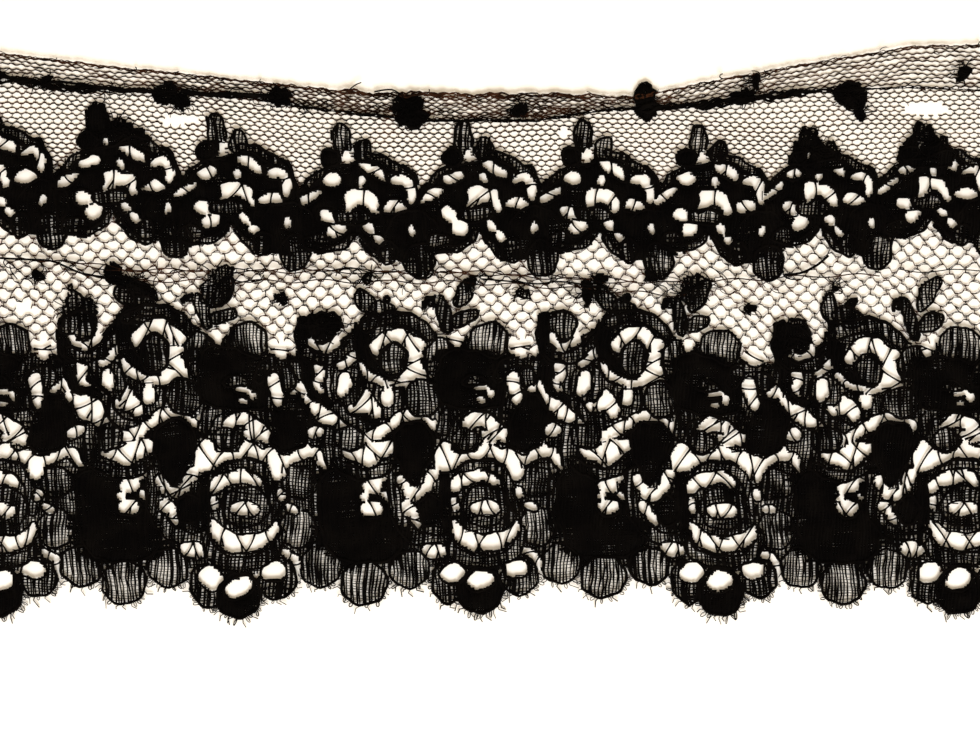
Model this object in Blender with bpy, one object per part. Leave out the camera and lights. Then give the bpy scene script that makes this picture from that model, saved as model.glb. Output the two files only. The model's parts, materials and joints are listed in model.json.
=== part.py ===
"""A cut length of black lace trim, lying flat.

The trim is one thin sheet. +X runs along it, +Y goes from its scalloped edge up to its heading, and +Z is up.
Net is NET_THICK thick, the pattern stands MOTIF_RELIEF higher, and the hem and the crease rise in soft slopes.
Every size below is in millimetres, and MM turns it to Blender's metres.
"""

import math
from collections import namedtuple

import bmesh
import bpy
from mathutils import Vector
from mathutils.geometry import delaunay_2d_cdt

MM = 0.001

# The strip: its length, its thickness, and how far its parts rise above the net
CUT_LENGTH = 168.0
HALF_LENGTH = CUT_LENGTH / 2
NET_THICK = 1.0
MOTIF_RELIEF = 0.5
HEM_RELIEF = 0.6
GATHER_RELIEF = 1.3
CREASE_RELIEF = 0.7
# How far the slopes run out from the gathers and the crease
GATHER_REACH = 1.8
CREASE_REACH = 2.4

BLACK_THREAD = (0.008, 0.006, 0.005, 1.0)
THREAD_ROUGHNESS = 0.85

# The lower band's repeats
ROSE_PITCH = 40.0
ROSE_X = -1.0
ROSE_Y = -29.5
ROSE_REPEATS = range(-3, 4)

# How finely the outlines are drawn: sides of each kind of oval, the distance that joins two corners,
# the smallest patch of net or pattern, and the turns in degrees below which a corner is dropped
OVAL_SIDES = 8
BIG_OVAL = 2.6
BIG_OVAL_SIDES = 9
GAP_SIDES = 6
ROUND_GAP_SIDES = 8
SNAP = 0.1
SMALLEST_PATCH = 12.0
PINCH_ROUNDS = 4
STRAIGHT = 36.0
EDGE_STRAIGHT = 14.0
FLAT = 1.0

# x, y: the middle. long, wide: half the length and half the width. turn: degrees from +X.
# bend: how far both ends bow to the shape's left. tip: how much the far end narrows.
Oval = namedtuple("Oval", "name x y long wide turn bend tip")
# points: the middle line. start, middle, end: half the width there.
Band = namedtuple("Band", "name points start middle end")
# x, y: where the repeat's own zero lies. size, tall: its scale along X and Y. turn: degrees.
Place = namedtuple("Place", "x y size tall turn")

# The deep lower band, measured from the middle of its rose
ROSE_OVALS = (
    Oval("rose_heart", 0.4, 0.1, 4.1, 3.6, 0, 0, 0),
    Oval("left_loop", -5.5, -12.3, 3.7, 2.8, 100, 0, 0),
    Oval("middle_loop", -0.3, -13.6, 4.2, 3.4, 90, 0, 0),
    Oval("right_loop", 6.0, -11.2, 3.6, 3.3, 90, 0, 0),
    Oval("curl_ball", -8.7, 0.2, 2.6, 2.1, 90, 0, 0),
    Oval("spade_leaf", -11.5, 9.6, 5.4, 3.5, -92, 0, 0.35),
    Oval("flower_heart", 18.6, -1.6, 7.6, 7.4, 0, 0, 0),
    Oval("petal_north_west", 8.8, 4.3, 3.9, 2.8, 80, 0, 0),
    Oval("petal_west", 9.6, -3.4, 3.7, 3.5, 0, 0, 0),
    Oval("petal_south_west", 13.4, -9.7, 3.4, 3.3, 0, 0, 0),
    Oval("petal_south", 20.8, -12.6, 3.8, 3.4, 0, 0, 0),
    Oval("petal_south_east", 27.3, -10.2, 3.5, 3.3, 10, 0, 0),
    Oval("eye_surround", 23.0, 2.6, 4.4, 3.0, 80, 0, 0),
    Oval("wave_ball", -2.8, 11.3, 2.2, 2.0, 0, 0, 0),
    Oval("bulb", 8.4, 12.4, 4.7, 3.6, 0, 0, 0),
    Oval("bulb_neck", 8.4, 17.2, 3.4, 1.4, 90, 0, 0.2),
    Oval("hook_drop", 8.3, 21.8, 1.9, 1.4, -90, 0, 0.2),
    Oval("left_ring", 16.4, 20.9, 3.0, 2.3, 85, 0, 0),
    Oval("right_ring", 22.8, 18.9, 2.8, 2.5, 85, 0, 0),
    Oval("fish_ball", 16.3, 11.6, 2.5, 2.2, 0, 0, 0),
    Oval("bud", 13.5, 30.0, 2.3, 1.9, 90, 0, 0),
    Oval("arch_ball", 25.8, 24.6, 3.3, 2.8, 80, 0, 0),
    Oval("upper_dome", 0.9, 27.6, 3.5, 3.1, 90, 0, 0),
    Oval("upper_left_petal", -6.3, 25.7, 3.1, 2.9, 90, 0, 0),
    Oval("upper_low_petal", -9.3, 18.1, 3.4, 3.2, 0, 0, 0),
    Oval("upper_heart", -2.0, 21.4, 5.4, 4.9, 0, 0, 0),
    Oval("left_leaf", 20.9, 34.3, 2.7, 1.3, -60, 0, 0),
    Oval("right_leaf", 24.1, 33.6, 2.2, 1.2, -10, 0, 0),
    Oval("plume_leaf", -2.8, 35.9, 3.1, 1.6, 62, 0, 0),
    Oval("small_leaf", -2.7, 31.4, 2.5, 1.1, 22, 0, 0),
)
ROSE_BANDS = (
    Band("rose_arch", ((-5.3, 0.4), (-4.7, 4.7), (-1.2, 7.3), (3.3, 6.5), (5.7, 3.4), (6.2, -0.8)), 1.1, 1.2, 1.6),
    Band("rose_cup", ((-5.4, -4.6), (-3.7, -8.0), (1.0, -8.8), (5.0, -7.0), (6.6, -3.6)), 1.0, 1.2, 1.0),
    Band("curl_band", ((-15.0, 6.6), (-14.4, 1.6), (-12.0, -3.2), (-8.2, -4.9), (-5.0, -3.2)), 1.3, 1.4, 1.2),
    Band("fish_jaw", ((12.6, 10.6), (13.7, 7.0), (17.5, 5.6), (21.6, 7.2), (24.4, 10.2)), 1.0, 1.2, 1.0),
    Band("wave_arch", ((-6.0, 12.6), (-4.2, 16.2), (-0.8, 17.2), (3.0, 15.4), (6.4, 11.6)), 1.5, 1.3, 1.4),
    Band("hook", ((3.0, 21.6), (4.6, 24.4), (8.4, 24.4), (11.2, 21.0), (14.4, 17.0), (19.0, 15.0), (23.6, 16.2)), 0.9, 1.2, 1.1),
    Band("hook_back", ((12.0, 25.0), (11.9, 21.2)), 1.1, 1.3, 0.9),
    Band("scroll", ((13.2, 32.0), (10.6, 30.6), (10.6, 26.8), (14.0, 24.9), (18.0, 27.2)), 0.8, 1.2, 1.2),
    Band("scroll_arch", ((18.0, 27.2), (20.8, 31.0), (25.2, 32.4), (29.2, 30.0), (32.2, 27.4)), 1.2, 1.2, 1.2),
    Band("arch_back", ((21.0, 30.0), (21.3, 26.2), (23.4, 22.8)), 1.2, 1.1, 1.0),
    Band("hook_leaf", ((-8.9, 35.0), (-6.7, 34.0), (-5.4, 29.6)), 0.5, 1.3, 0.9),
)
# The gaps of the lower band that are over 4 mm long
ROSE_GAPS = (
    Oval("rose_eye", 0.3, 0.0, 2.1, 1.1, -5, 0, 0),
    Oval("rose_brow", -0.6, 4.9, 4.0, 0.9, -2, -1.6, 0),
    Oval("rose_smile", 0.5, -5.6, 5.0, 1.5, -2, 1.8, 0),
    Oval("left_loop_hole", -5.2, -10.9, 1.75, 1.5, 15, 0, 0),
    Oval("middle_loop_hole", -0.2, -11.9, 2.1, 1.45, 22, 0, 0),
    Oval("right_loop_hole", 5.4, -10.3, 2.0, 1.25, 0, 0, 0),
    Oval("ladder", -12.2, 1.9, 3.5, 1.35, -68, 0.5, 0.3),
    Oval("under_curl", -7.9, -7.3, 2.1, 1.1, -8, 0, 0),
    Oval("spade_arc", -12.6, 15.0, 5.2, 0.7, 12, -1.9, 0),
    Oval("fish", 18.6, 8.9, 4.2, 1.25, 14, 1.2, 0),
    Oval("wave", 0.6, 13.9, 4.0, 1.0, -24, -1.0, 0),
    Oval("hook_gap", 5.8, 19.8, 3.2, 1.2, -82, 0, 0.35),
    Oval("diagonal", 12.9, 15.9, 4.2, 1.1, -42, 0, 0),
    Oval("tent", 19.5, 17.9, 2.1, 1.5, 90, 0, 0.45),
    Oval("bud_crescent", 14.4, 27.5, 2.5, 0.75, 25, 0.9, 0),
    Oval("arch_crescent", 26.3, 28.8, 4.1, 1.1, 2, -1.8, 0),
    Oval("sail", 29.6, 23.1, 3.3, 1.65, 84, 0, 0.2),
    Oval("fin", 17.6, 24.4, 2.2, 0.8, 42, 0, 0),
)

# The upper band's spray, measured from a point below its top leaf
SPRAY_PLACES = (
    Place(-86.0, 27.6, 1.00, 1.00, 3),
    Place(-65.2, 26.2, 1.00, 1.00, 2),
    Place(-45.6, 24.5, 1.03, 1.00, 1),
    Place(-24.7, 23.4, 1.02, 1.00, 0),
    Place(-4.2, 23.5, 1.02, 1.00, 0),
    Place(15.8, 23.3, 1.00, 1.00, 0),
    Place(34.8, 23.3, 0.97, 0.98, -1),
    Place(53.4, 23.8, 0.94, 0.90, -1),
    Place(71.8, 24.5, 0.92, 0.88, 1),
)
SPRAY_OVALS = (
    Oval("top_leaf", -0.1, 9.2, 2.9, 1.45, 92, 0, 0),
    Oval("right_bud", 3.3, 7.3, 1.9, 1.4, 80, 0, 0),
    Oval("left_bud", -2.0, 5.8, 1.6, 1.5, 0, 0, 0),
    Oval("bud_base", 0.9, 5.2, 2.4, 1.8, 0, 0, 0),
    Oval("middle_ring", 3.2, 1.6, 2.2, 2.1, 0, 0, 0),
    Oval("left_body", -1.7, -0.9, 2.8, 2.7, 0, 0, 0),
    Oval("belly", 1.9, -3.9, 3.3, 1.7, 0, 0, 0),
    Oval("flower", 10.9, -5.6, 4.6, 4.0, 0, 0, 0),
    Oval("low_lobe", 11.7, -12.0, 2.7, 2.4, 90, 0, 0),
    Oval("low_left_lobe", 7.6, -10.1, 2.3, 1.8, 90, 0, 0),
    Oval("low_right_lobe", -4.2, -8.2, 2.3, 2.1, 0, 0, 0),
    Oval("left_petal", -7.2, -3.8, 2.9, 1.8, 20, 0, 0),
)
SPRAY_BANDS = (
    Band("left_shoulder", ((-8.0, -0.6), (-5.3, 2.6), (-1.2, 3.9)), 0.8, 0.9, 0.9),
    Band("right_shoulder", ((2.8, 5.2), (6.3, 5.3), (9.2, 3.0)), 0.9, 1.0, 0.9),
    Band("far_right", ((8.5, 3.3), (11.4, 3.2), (12.9, -0.4), (12.6, -3.4)), 0.8, 0.95, 0.9),
    Band("middle_link", ((4.6, 1.4), (7.6, 0.8), (10.2, -1.2)), 1.1, 1.2, 1.2),
    Band("right_leg", ((1.2, -4.6), (2.6, -7.6), (6.6, -10.2)), 0.8, 0.85, 0.8),
    Band("left_leg", ((1.2, -4.6), (0.4, -8.0), (-3.6, -9.6)), 0.8, 0.85, 0.8),
)
SPRAY_GAPS = (
    Oval("right_shoulder_gap", 5.3, 3.8, 2.2, 0.95, -26, -0.3, 0),
    Oval("far_right_gap", 10.2, 1.0, 2.4, 0.85, -40, -0.6, 0),
    Oval("middle_arch", 3.5, -1.0, 2.7, 1.0, -6, -1.2, 0),
    Oval("right_arch", 8.7, -2.1, 2.1, 0.9, 3, -0.7, 0),
    Oval("left_slit", -5.2, -0.9, 2.2, 0.7, 30, 0, 0),
    Oval("belly_gap", -1.9, -5.2, 2.3, 1.1, -52, 0, 0),
    Oval("leg_gap", 4.9, -6.9, 2.1, 0.7, -55, 0, 0),
)

# The heading: its top edge, the line that it is gathered on, and the dark lumps left on that line
HEADING_EDGE = (
    (-84.0, 46.6), (-62.0, 43.7), (-40.0, 41.8), (-20.0, 39.9), (0.0, 39.2),
    (24.0, 39.0), (38.0, 42.0), (58.0, 45.8), (70.0, 47.3), (84.0, 47.3),
)
GATHER_LINE = (
    (-84.0, 42.8), (-70.0, 40.3), (-55.0, 39.6), (-40.0, 39.0), (-25.0, 37.0), (-10.0, 35.4),
    (8.0, 34.8), (20.0, 36.8), (35.0, 38.0), (55.0, 40.3), (70.0, 40.7), (84.0, 40.0),
)
LUMPS = (
    Oval("lump_1", -53.3, 38.9, 2.7, 2.2, 30, 0, 0),
    Oval("lump_2", -35.0, 39.4, 2.1, 1.7, 0, 0, 0),
    Oval("lump_3", -13.3, 37.2, 3.2, 2.6, 0, 0, 0),
    Oval("lump_4", 5.0, 36.9, 1.8, 1.5, 20, 0, 0),
    Oval("lump_5", 25.8, 38.0, 3.4, 2.1, 95, 0, 0),
    Oval("lump_6", 42.0, 39.4, 2.4, 1.2, 10, 0, 0),
    Oval("lump_7", 60.0, 39.2, 3.0, 2.5, -30, 0, 0),
    Oval("lump_8", 79.0, 43.0, 2.0, 1.5, 20, 0, 0),
)

# The soft crease along the coarse net, and where the lower edge runs between the petals
CREASE_LINE = (
    (-84.0, 12.0), (-72.0, 11.0), (-60.0, 9.0), (-30.0, 9.5), (-5.0, 9.0),
    (12.0, 8.0), (30.0, 7.0), (55.0, 8.5), (84.0, 8.6),
)
EDGE_NAMES = (
    "left_loop", "middle_loop", "right_loop",
    "petal_south_west", "petal_south", "petal_south_east",
)
EDGE_SIDES = 10
# The notches between them, measured from the middle of the rose
EDGE_NOTCHES = ((0.0, -12.0), (2.8, -12.8), (9.7, -11.7), (16.7, -12.0), (24.8, -11.7), (31.5, -10.3), (37.0, -15.0))

# The kinds of face, the first found wins
KINDS = ("motif", "hem", "hem_foot", "crease_top", "crease_foot")


def clear_scene():
    for obj in list(bpy.data.objects):
        bpy.data.objects.remove(obj, do_unlink=True)


def curve_through(points, steps):
    """Points on a smooth curve that passes through the given ones."""
    ends = [points[0], *points, points[-1]]
    found = []
    for before, start, stop, after in zip(ends, ends[1:], ends[2:], ends[3:]):
        for step in range(steps):
            t = step / steps
            found.append(tuple(
                0.5 * (2 * b + (c - a) * t + (2 * a - 5 * b + 4 * c - d) * t * t + (3 * b - a - 3 * c + d) * t ** 3)
                for a, b, c, d in zip(before, start, stop, after)
            ))
    found.append(tuple(points[-1]))
    return found


def height_on(line, x):
    """The Y of a line that runs along the strip, at this X."""
    for (x0, y0), (x1, y1) in zip(line, line[1:]):
        if x <= x1:
            return y0 + (y1 - y0) * (x - x0) / (x1 - x0)
    return line[-1][1]


def oval_outline(oval, sides, start=0.5):
    """The oval's corners. start is how far round the first one lies, in steps from its far tip."""
    turn = math.radians(oval.turn)
    outline = []
    for side in range(sides):
        angle = 2 * math.pi * (side + start) / sides
        along = math.cos(angle)
        u = oval.long * along
        v = oval.wide * math.sin(angle) * (1 - oval.tip * along) + oval.bend * along * along
        outline.append((
            oval.x + u * math.cos(turn) - v * math.sin(turn),
            oval.y + u * math.sin(turn) + v * math.cos(turn),
        ))
    return outline


def sides_of(oval):
    return BIG_OVAL_SIDES if oval.wide >= BIG_OVAL else OVAL_SIDES


def gap_outline(gap):
    """A gap with a corner at each tip."""
    return oval_outline(gap, ROUND_GAP_SIDES if gap.wide > 1.2 else GAP_SIDES, start=0)


def band_outline(band):
    line = [Vector(point) for point in band.points]
    last = len(line) - 1
    left, right = [], []
    for i, point in enumerate(line):
        t = i / last
        across = (line[min(i + 1, last)] - line[max(i - 1, 0)]).orthogonal().normalized()
        half = band.start * (1 - t) * (1 - 2 * t) + 4 * band.middle * t * (1 - t) + band.end * t * (2 * t - 1)
        left.append(point + across * half)
        right.append(point - across * half)
    first_cap = line[0] - (line[1] - line[0]).normalized() * band.start * 0.8
    last_cap = line[last] + (line[last] - line[last - 1]).normalized() * band.end * 0.8
    return [tuple(p) for p in [first_cap, *left, last_cap, *reversed(right)]]


def placed(outline, place):
    turn = math.radians(place.turn)
    return [
        (
            place.x + (x * math.cos(turn) - y * math.sin(turn)) * place.size,
            place.y + (x * math.sin(turn) + y * math.cos(turn)) * place.tall,
        )
        for x, y in outline
    ]


def rose_places():
    return [Place(ROSE_X + ROSE_PITCH * k, ROSE_Y, 1.0, 1.0, 0) for k in ROSE_REPEATS]


def within_strip(outline):
    """Whether a shape lies wholly inside the two cut ends."""
    return all(abs(x) < HALF_LENGTH - 1.0 for x, y in outline)


def touches_strip(outline):
    return any(abs(x) < HALF_LENGTH for x, y in outline)


def motif_outlines():
    found = []
    for places, ovals, bands in (
        (rose_places(), ROSE_OVALS, ROSE_BANDS),
        (SPRAY_PLACES, SPRAY_OVALS, SPRAY_BANDS),
    ):
        for place in places:
            shapes = [oval_outline(oval, sides_of(oval)) for oval in ovals]
            shapes += [band_outline(band) for band in bands]
            found += [placed(shape, place) for shape in shapes]
    return [outline for outline in found if touches_strip(outline)] + lump_outlines()


def lump_outlines():
    return [oval_outline(lump, OVAL_SIDES) for lump in LUMPS]


def gap_outlines():
    found = []
    for places, gaps in ((rose_places(), ROSE_GAPS), (SPRAY_PLACES, SPRAY_GAPS)):
        for place in places:
            found += [placed(gap_outline(gap), place) for gap in gaps]
    return [outline for outline in found if within_strip(outline)]


def edge_outlines():
    """The loops and petals whose round ends make the scalloped edge."""
    edge = [oval for oval in ROSE_OVALS if oval.name in EDGE_NAMES]
    return [
        outline
        for place in rose_places()
        for outline in (placed(oval_outline(oval, EDGE_SIDES), place) for oval in edge)
        if touches_strip(outline)
    ]


def ground_outline():
    """The strip from its heading down to the notches of its scalloped edge."""
    top = curve_through(HEADING_EDGE, 2)
    notches = [(place.x + x, place.y + y) for place in rose_places() for x, y in EDGE_NOTCHES]
    kept = [(x, y) for x, y in notches if abs(x) < HALF_LENGTH - 0.5]
    first = (-HALF_LENGTH, height_on(notches, -HALF_LENGTH))
    last = (HALF_LENGTH, height_on(notches, HALF_LENGTH))
    return [first, *kept, last, *reversed(top)]


def cut_length():
    far = 2 * HALF_LENGTH
    return [(-HALF_LENGTH, -far), (HALF_LENGTH, -far), (HALF_LENGTH, far), (-HALF_LENGTH, far)]


def area_of(outline):
    return sum(x0 * y1 - x1 * y0 for (x0, y0), (x1, y1) in zip(outline, [*outline[1:], outline[0]])) / 2


def strip_between(upper, lower):
    """The closed outline between two lines that run the whole length of the strip."""
    return [*lower, *reversed(upper)]


def shifted(line, rise):
    return [(x, y + rise) for x, y in line]


def slopes():
    """The long strips that slope: the hem, the foot of its gathers, and both sides of the crease."""
    return {
        "hem": [strip_between(shifted(GATHER_LINE, 20), GATHER_LINE)],
        "hem_foot": [strip_between(GATHER_LINE, shifted(GATHER_LINE, -GATHER_REACH))],
        "crease_top": [strip_between(shifted(CREASE_LINE, CREASE_REACH), CREASE_LINE)],
        "crease_foot": [strip_between(CREASE_LINE, shifted(CREASE_LINE, -CREASE_REACH))],
    }


def sheet_faces(outlines_by_use):
    """Cuts the plane along every outline, and returns its points and the sheet's triangles with their kinds."""
    corners, polygons, uses = [], [], []
    for use, outlines in outlines_by_use.items():
        for outline in outlines:
            polygons.append(list(range(len(corners), len(corners) + len(outline))))
            corners += [Vector(point) for point in (outline if area_of(outline) > 0 else reversed(outline))]
            uses.append(use)
    points, _, faces, _, _, sources = delaunay_2d_cdt(corners, [], polygons, 0, SNAP, True)
    kept = []
    for face, source in zip(faces, sources):
        found = {uses[i] for i in source}
        if {"sheet", "length"} <= found and "gap" not in found:
            kept.append((face, next((i for i, kind in enumerate(KINDS) if kind in found), len(KINDS))))
    return points, kept


def flat_sheet(points, faces):
    """A bmesh of the sheet's plan. Each kind of face has its own material, which keeps its edges."""
    bm = bmesh.new()
    verts = [bm.verts.new((min(max(p.x, -HALF_LENGTH), HALF_LENGTH), p.y, 0.0)) for p in points]
    for face, kind in faces:
        made = bm.faces.new([verts[i] for i in face])
        made.material_index = kind
    bmesh.ops.delete(bm, geom=[v for v in bm.verts if not v.link_faces], context="VERTS")
    bmesh.ops.recalc_face_normals(bm, faces=bm.faces)
    if sum(f.normal.z for f in bm.faces) < 0:
        bmesh.ops.reverse_faces(bm, faces=bm.faces)
    absorb_patches(bm)
    for _ in range(PINCH_ROUNDS):
        close_pinches(bm)
    join_alike(bm, [v for v in bm.verts if not v.is_boundary], STRAIGHT)
    join_alike(bm, bm.verts, EDGE_STRAIGHT)
    return bm


def spread(faces, edges_of):
    """Groups the faces of one material that touch along the edges that edges_of gives."""
    left, groups = set(faces), []
    while left:
        queue, group = [left.pop()], []
        while queue:
            face = queue.pop()
            group.append(face)
            near = {f for e in edges_of(face) for f in e.link_faces}
            alike = {f for f in near & left if f.material_index == face.material_index}
            left -= alike
            queue += alike
        groups.append(group)
    return groups


def absorb_patches(bm):
    """Gives each patch that is too small to see to the neighbour it shares most of its edge with."""
    for patch in spread(bm.faces, lambda face: face.edges):
        if sum(f.calc_area() for f in patch) < SMALLEST_PATCH:
            inside, shared = set(patch), {}
            for edge in {e for f in patch for e in f.edges}:
                for face in set(edge.link_faces) - inside:
                    shared[face.material_index] = shared.get(face.material_index, 0) + edge.calc_length()
            for face in patch:
                face.material_index = max(shared, key=shared.get)


def close_pinches(bm):
    """Where two parts of the pattern only touch at a corner, joins them across the narrower side."""
    motif = KINDS.index("motif")
    for vert in bm.verts:
        fans = spread(vert.link_faces, lambda face: [e for e in face.edges if vert in e.verts])
        net = [fan for fan in fans if fan[0].material_index != motif]
        if len(fans) - len(net) > 1 and net:
            for face in min(net, key=lambda fan: sum(f.calc_area() for f in fan)):
                face.material_index = motif


def join_alike(bm, verts, straight):
    """Joins neighbouring faces of one material that lie in one plane, and drops the corners that hardly turn."""
    bmesh.ops.dissolve_limit(
        bm, angle_limit=math.radians(straight), use_dissolve_boundaries=False,
        verts=verts, edges=bm.edges, delimit={"MATERIAL"},
    )


def raise_faces(bm, faces, height):
    """Pulls faces up, with walls round them, and returns the faces on top."""
    edges = list({e for f in faces for e in f.edges})
    made = bmesh.ops.extrude_face_region(bm, geom=faces + edges)["geom"]
    bmesh.ops.translate(bm, verts=[g for g in made if isinstance(g, bmesh.types.BMVert)], vec=(0, 0, height))
    return [g for g in made if isinstance(g, bmesh.types.BMFace)]


def lift_at(x, y):
    """How far the cloth's upper side stands above the flat, at this place."""
    gather = height_on(GATHER_LINE, x)
    edge = height_on(HEADING_EDGE, x)
    crease = abs(y - height_on(CREASE_LINE, x))
    uneven = 0.85 + 0.1 * math.sin(0.21 * x + 0.6) + 0.05 * math.sin(0.83 * x)
    if y >= gather:
        share = min(1.0, (y - gather) / (edge - gather))
        return uneven * (GATHER_RELIEF + (HEM_RELIEF - GATHER_RELIEF) * share)
    if y > gather - GATHER_REACH:
        return uneven * GATHER_RELIEF * (1 - (gather - y) / GATHER_REACH)
    return uneven * CREASE_RELIEF * max(0.0, 1 - crease / CREASE_REACH)


def thread_material():
    material = bpy.data.materials.new("black_lace")
    material.use_nodes = True
    shader = material.node_tree.nodes["Principled BSDF"]
    shader.inputs["Base Color"].default_value = BLACK_THREAD
    shader.inputs["Roughness"].default_value = THREAD_ROUGHNESS
    shader.inputs["Metallic"].default_value = 0.0
    return material


def build():
    clear_scene()
    points, faces = sheet_faces({
        "length": [cut_length()],
        "sheet": [ground_outline(), *edge_outlines(), *lump_outlines()],
        "motif": motif_outlines(),
        "gap": gap_outlines(),
        **slopes(),
    })
    bm = flat_sheet(points, faces)
    upper = raise_faces(bm, list(bm.faces), NET_THICK)
    upper = raise_faces(bm, [f for f in upper if f.material_index == KINDS.index("motif")], MOTIF_RELIEF)
    bm.normal_update()
    for face in bm.faces:
        if any(v.co.z == 0 for v in face.verts) or abs(face.normal.z) < 0.5:
            face.material_index = len(KINDS)
    join_alike(bm, bm.verts, FLAT)
    bmesh.ops.triangulate(bm, faces=bm.faces, quad_method="BEAUTY", ngon_method="BEAUTY")
    for vert in bm.verts:
        if vert.co.z > 0:
            vert.co.z += lift_at(vert.co.x, vert.co.y)
    bmesh.ops.recalc_face_normals(bm, faces=bm.faces)
    middle = (min(v.co.y for v in bm.verts) + max(v.co.y for v in bm.verts)) / 2
    bmesh.ops.translate(bm, verts=bm.verts, vec=(0, -middle, 0))
    bmesh.ops.scale(bm, verts=bm.verts, vec=(MM, MM, MM))
    for face in bm.faces:
        face.material_index = 0
    mesh = bpy.data.meshes.new("lace_trim")
    bm.to_mesh(mesh)
    bm.free()
    mesh.materials.append(thread_material())
    obj = bpy.data.objects.new("lace_trim", mesh)
    bpy.context.scene.collection.objects.link(obj)


build()
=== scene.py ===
"""The looks of a cut length of black lace trim: its threads, laid on a white surface.

Tables are in millimetres, in the part's frame: +X along the trim, +Y from the scalloped edge to
the heading, +Z up. The pattern is a chart of shapes. Later shapes lie over earlier ones, and
each has a tone that says how it is worked. The threads then read the chart to know where they
run.
"""

import json
import math
import random
from collections import namedtuple

import bmesh
import bpy
import numpy as np
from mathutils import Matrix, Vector

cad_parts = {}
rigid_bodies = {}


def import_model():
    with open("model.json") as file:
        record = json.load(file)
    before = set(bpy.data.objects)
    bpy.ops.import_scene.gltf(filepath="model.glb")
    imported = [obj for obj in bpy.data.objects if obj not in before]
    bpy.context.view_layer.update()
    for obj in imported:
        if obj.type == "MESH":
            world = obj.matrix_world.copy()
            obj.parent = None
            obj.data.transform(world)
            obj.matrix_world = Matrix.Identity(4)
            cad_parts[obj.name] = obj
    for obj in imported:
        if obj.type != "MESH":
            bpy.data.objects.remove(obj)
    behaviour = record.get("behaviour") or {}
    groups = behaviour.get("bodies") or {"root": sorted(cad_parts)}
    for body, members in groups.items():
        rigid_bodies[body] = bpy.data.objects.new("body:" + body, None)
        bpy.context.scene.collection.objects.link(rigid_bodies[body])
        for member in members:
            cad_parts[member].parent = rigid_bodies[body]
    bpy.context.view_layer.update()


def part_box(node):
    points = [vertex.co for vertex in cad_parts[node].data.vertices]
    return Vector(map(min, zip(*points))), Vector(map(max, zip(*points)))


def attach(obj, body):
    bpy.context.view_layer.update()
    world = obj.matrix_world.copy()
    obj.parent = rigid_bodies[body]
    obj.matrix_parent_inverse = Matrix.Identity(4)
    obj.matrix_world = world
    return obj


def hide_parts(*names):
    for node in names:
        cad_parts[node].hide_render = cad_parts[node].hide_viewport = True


bl_info = {
    "name": "Black lace trim",
    "version": (1, 0, 0),
    "blender": (4, 5, 0),
    "location": "View3D > Sidebar > Lace",
    "description": "Builds a length of black floral lace trim, thread by thread, on its stage",
    "category": "Object",
}

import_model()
MM = 0.001
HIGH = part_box("lace_trim")[1] / MM
HALF_LENGTH = HIGH.x
# The chart's own zero lies this far above the frame's
CHART_TOP = 47.3
SHIFT_Y = HIGH.y - CHART_TOP

# How a place on the trim is worked: net, three densities of cloth, a gap that fine bars cross,
# a bare gap, and none
NET, OPEN, CLOSE, SOLID, GAP, CLEAR, OUT = range(7)
CLOTH = (OPEN, CLOSE, SOLID)

# x, y: the middle. long, wide: half the length and half the width. turn: degrees from +X.
# bend: how far both ends bow to the shape's left. tip: how much the far end narrows.
Oval = namedtuple("Oval", "tone x y long wide turn bend tip", defaults=(0, 0, 0))
# points: the middle line. start, middle, end: half the width there.
Band = namedtuple("Band", "tone points start middle end")
# points: corners that a smooth closed line passes through
Patch = namedtuple("Patch", "tone points")
# x, y: where a repeat's own zero lies. size, tall: its scale along X and Y. turn: degrees.
Place = namedtuple("Place", "x y size tall turn")

ROSE_PITCH = 40.0
ROSE_PLACES = tuple(Place(-1.0 + ROSE_PITCH * k, -29.5, 1.0, 1.0, 0) for k in range(-3, 4))
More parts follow.
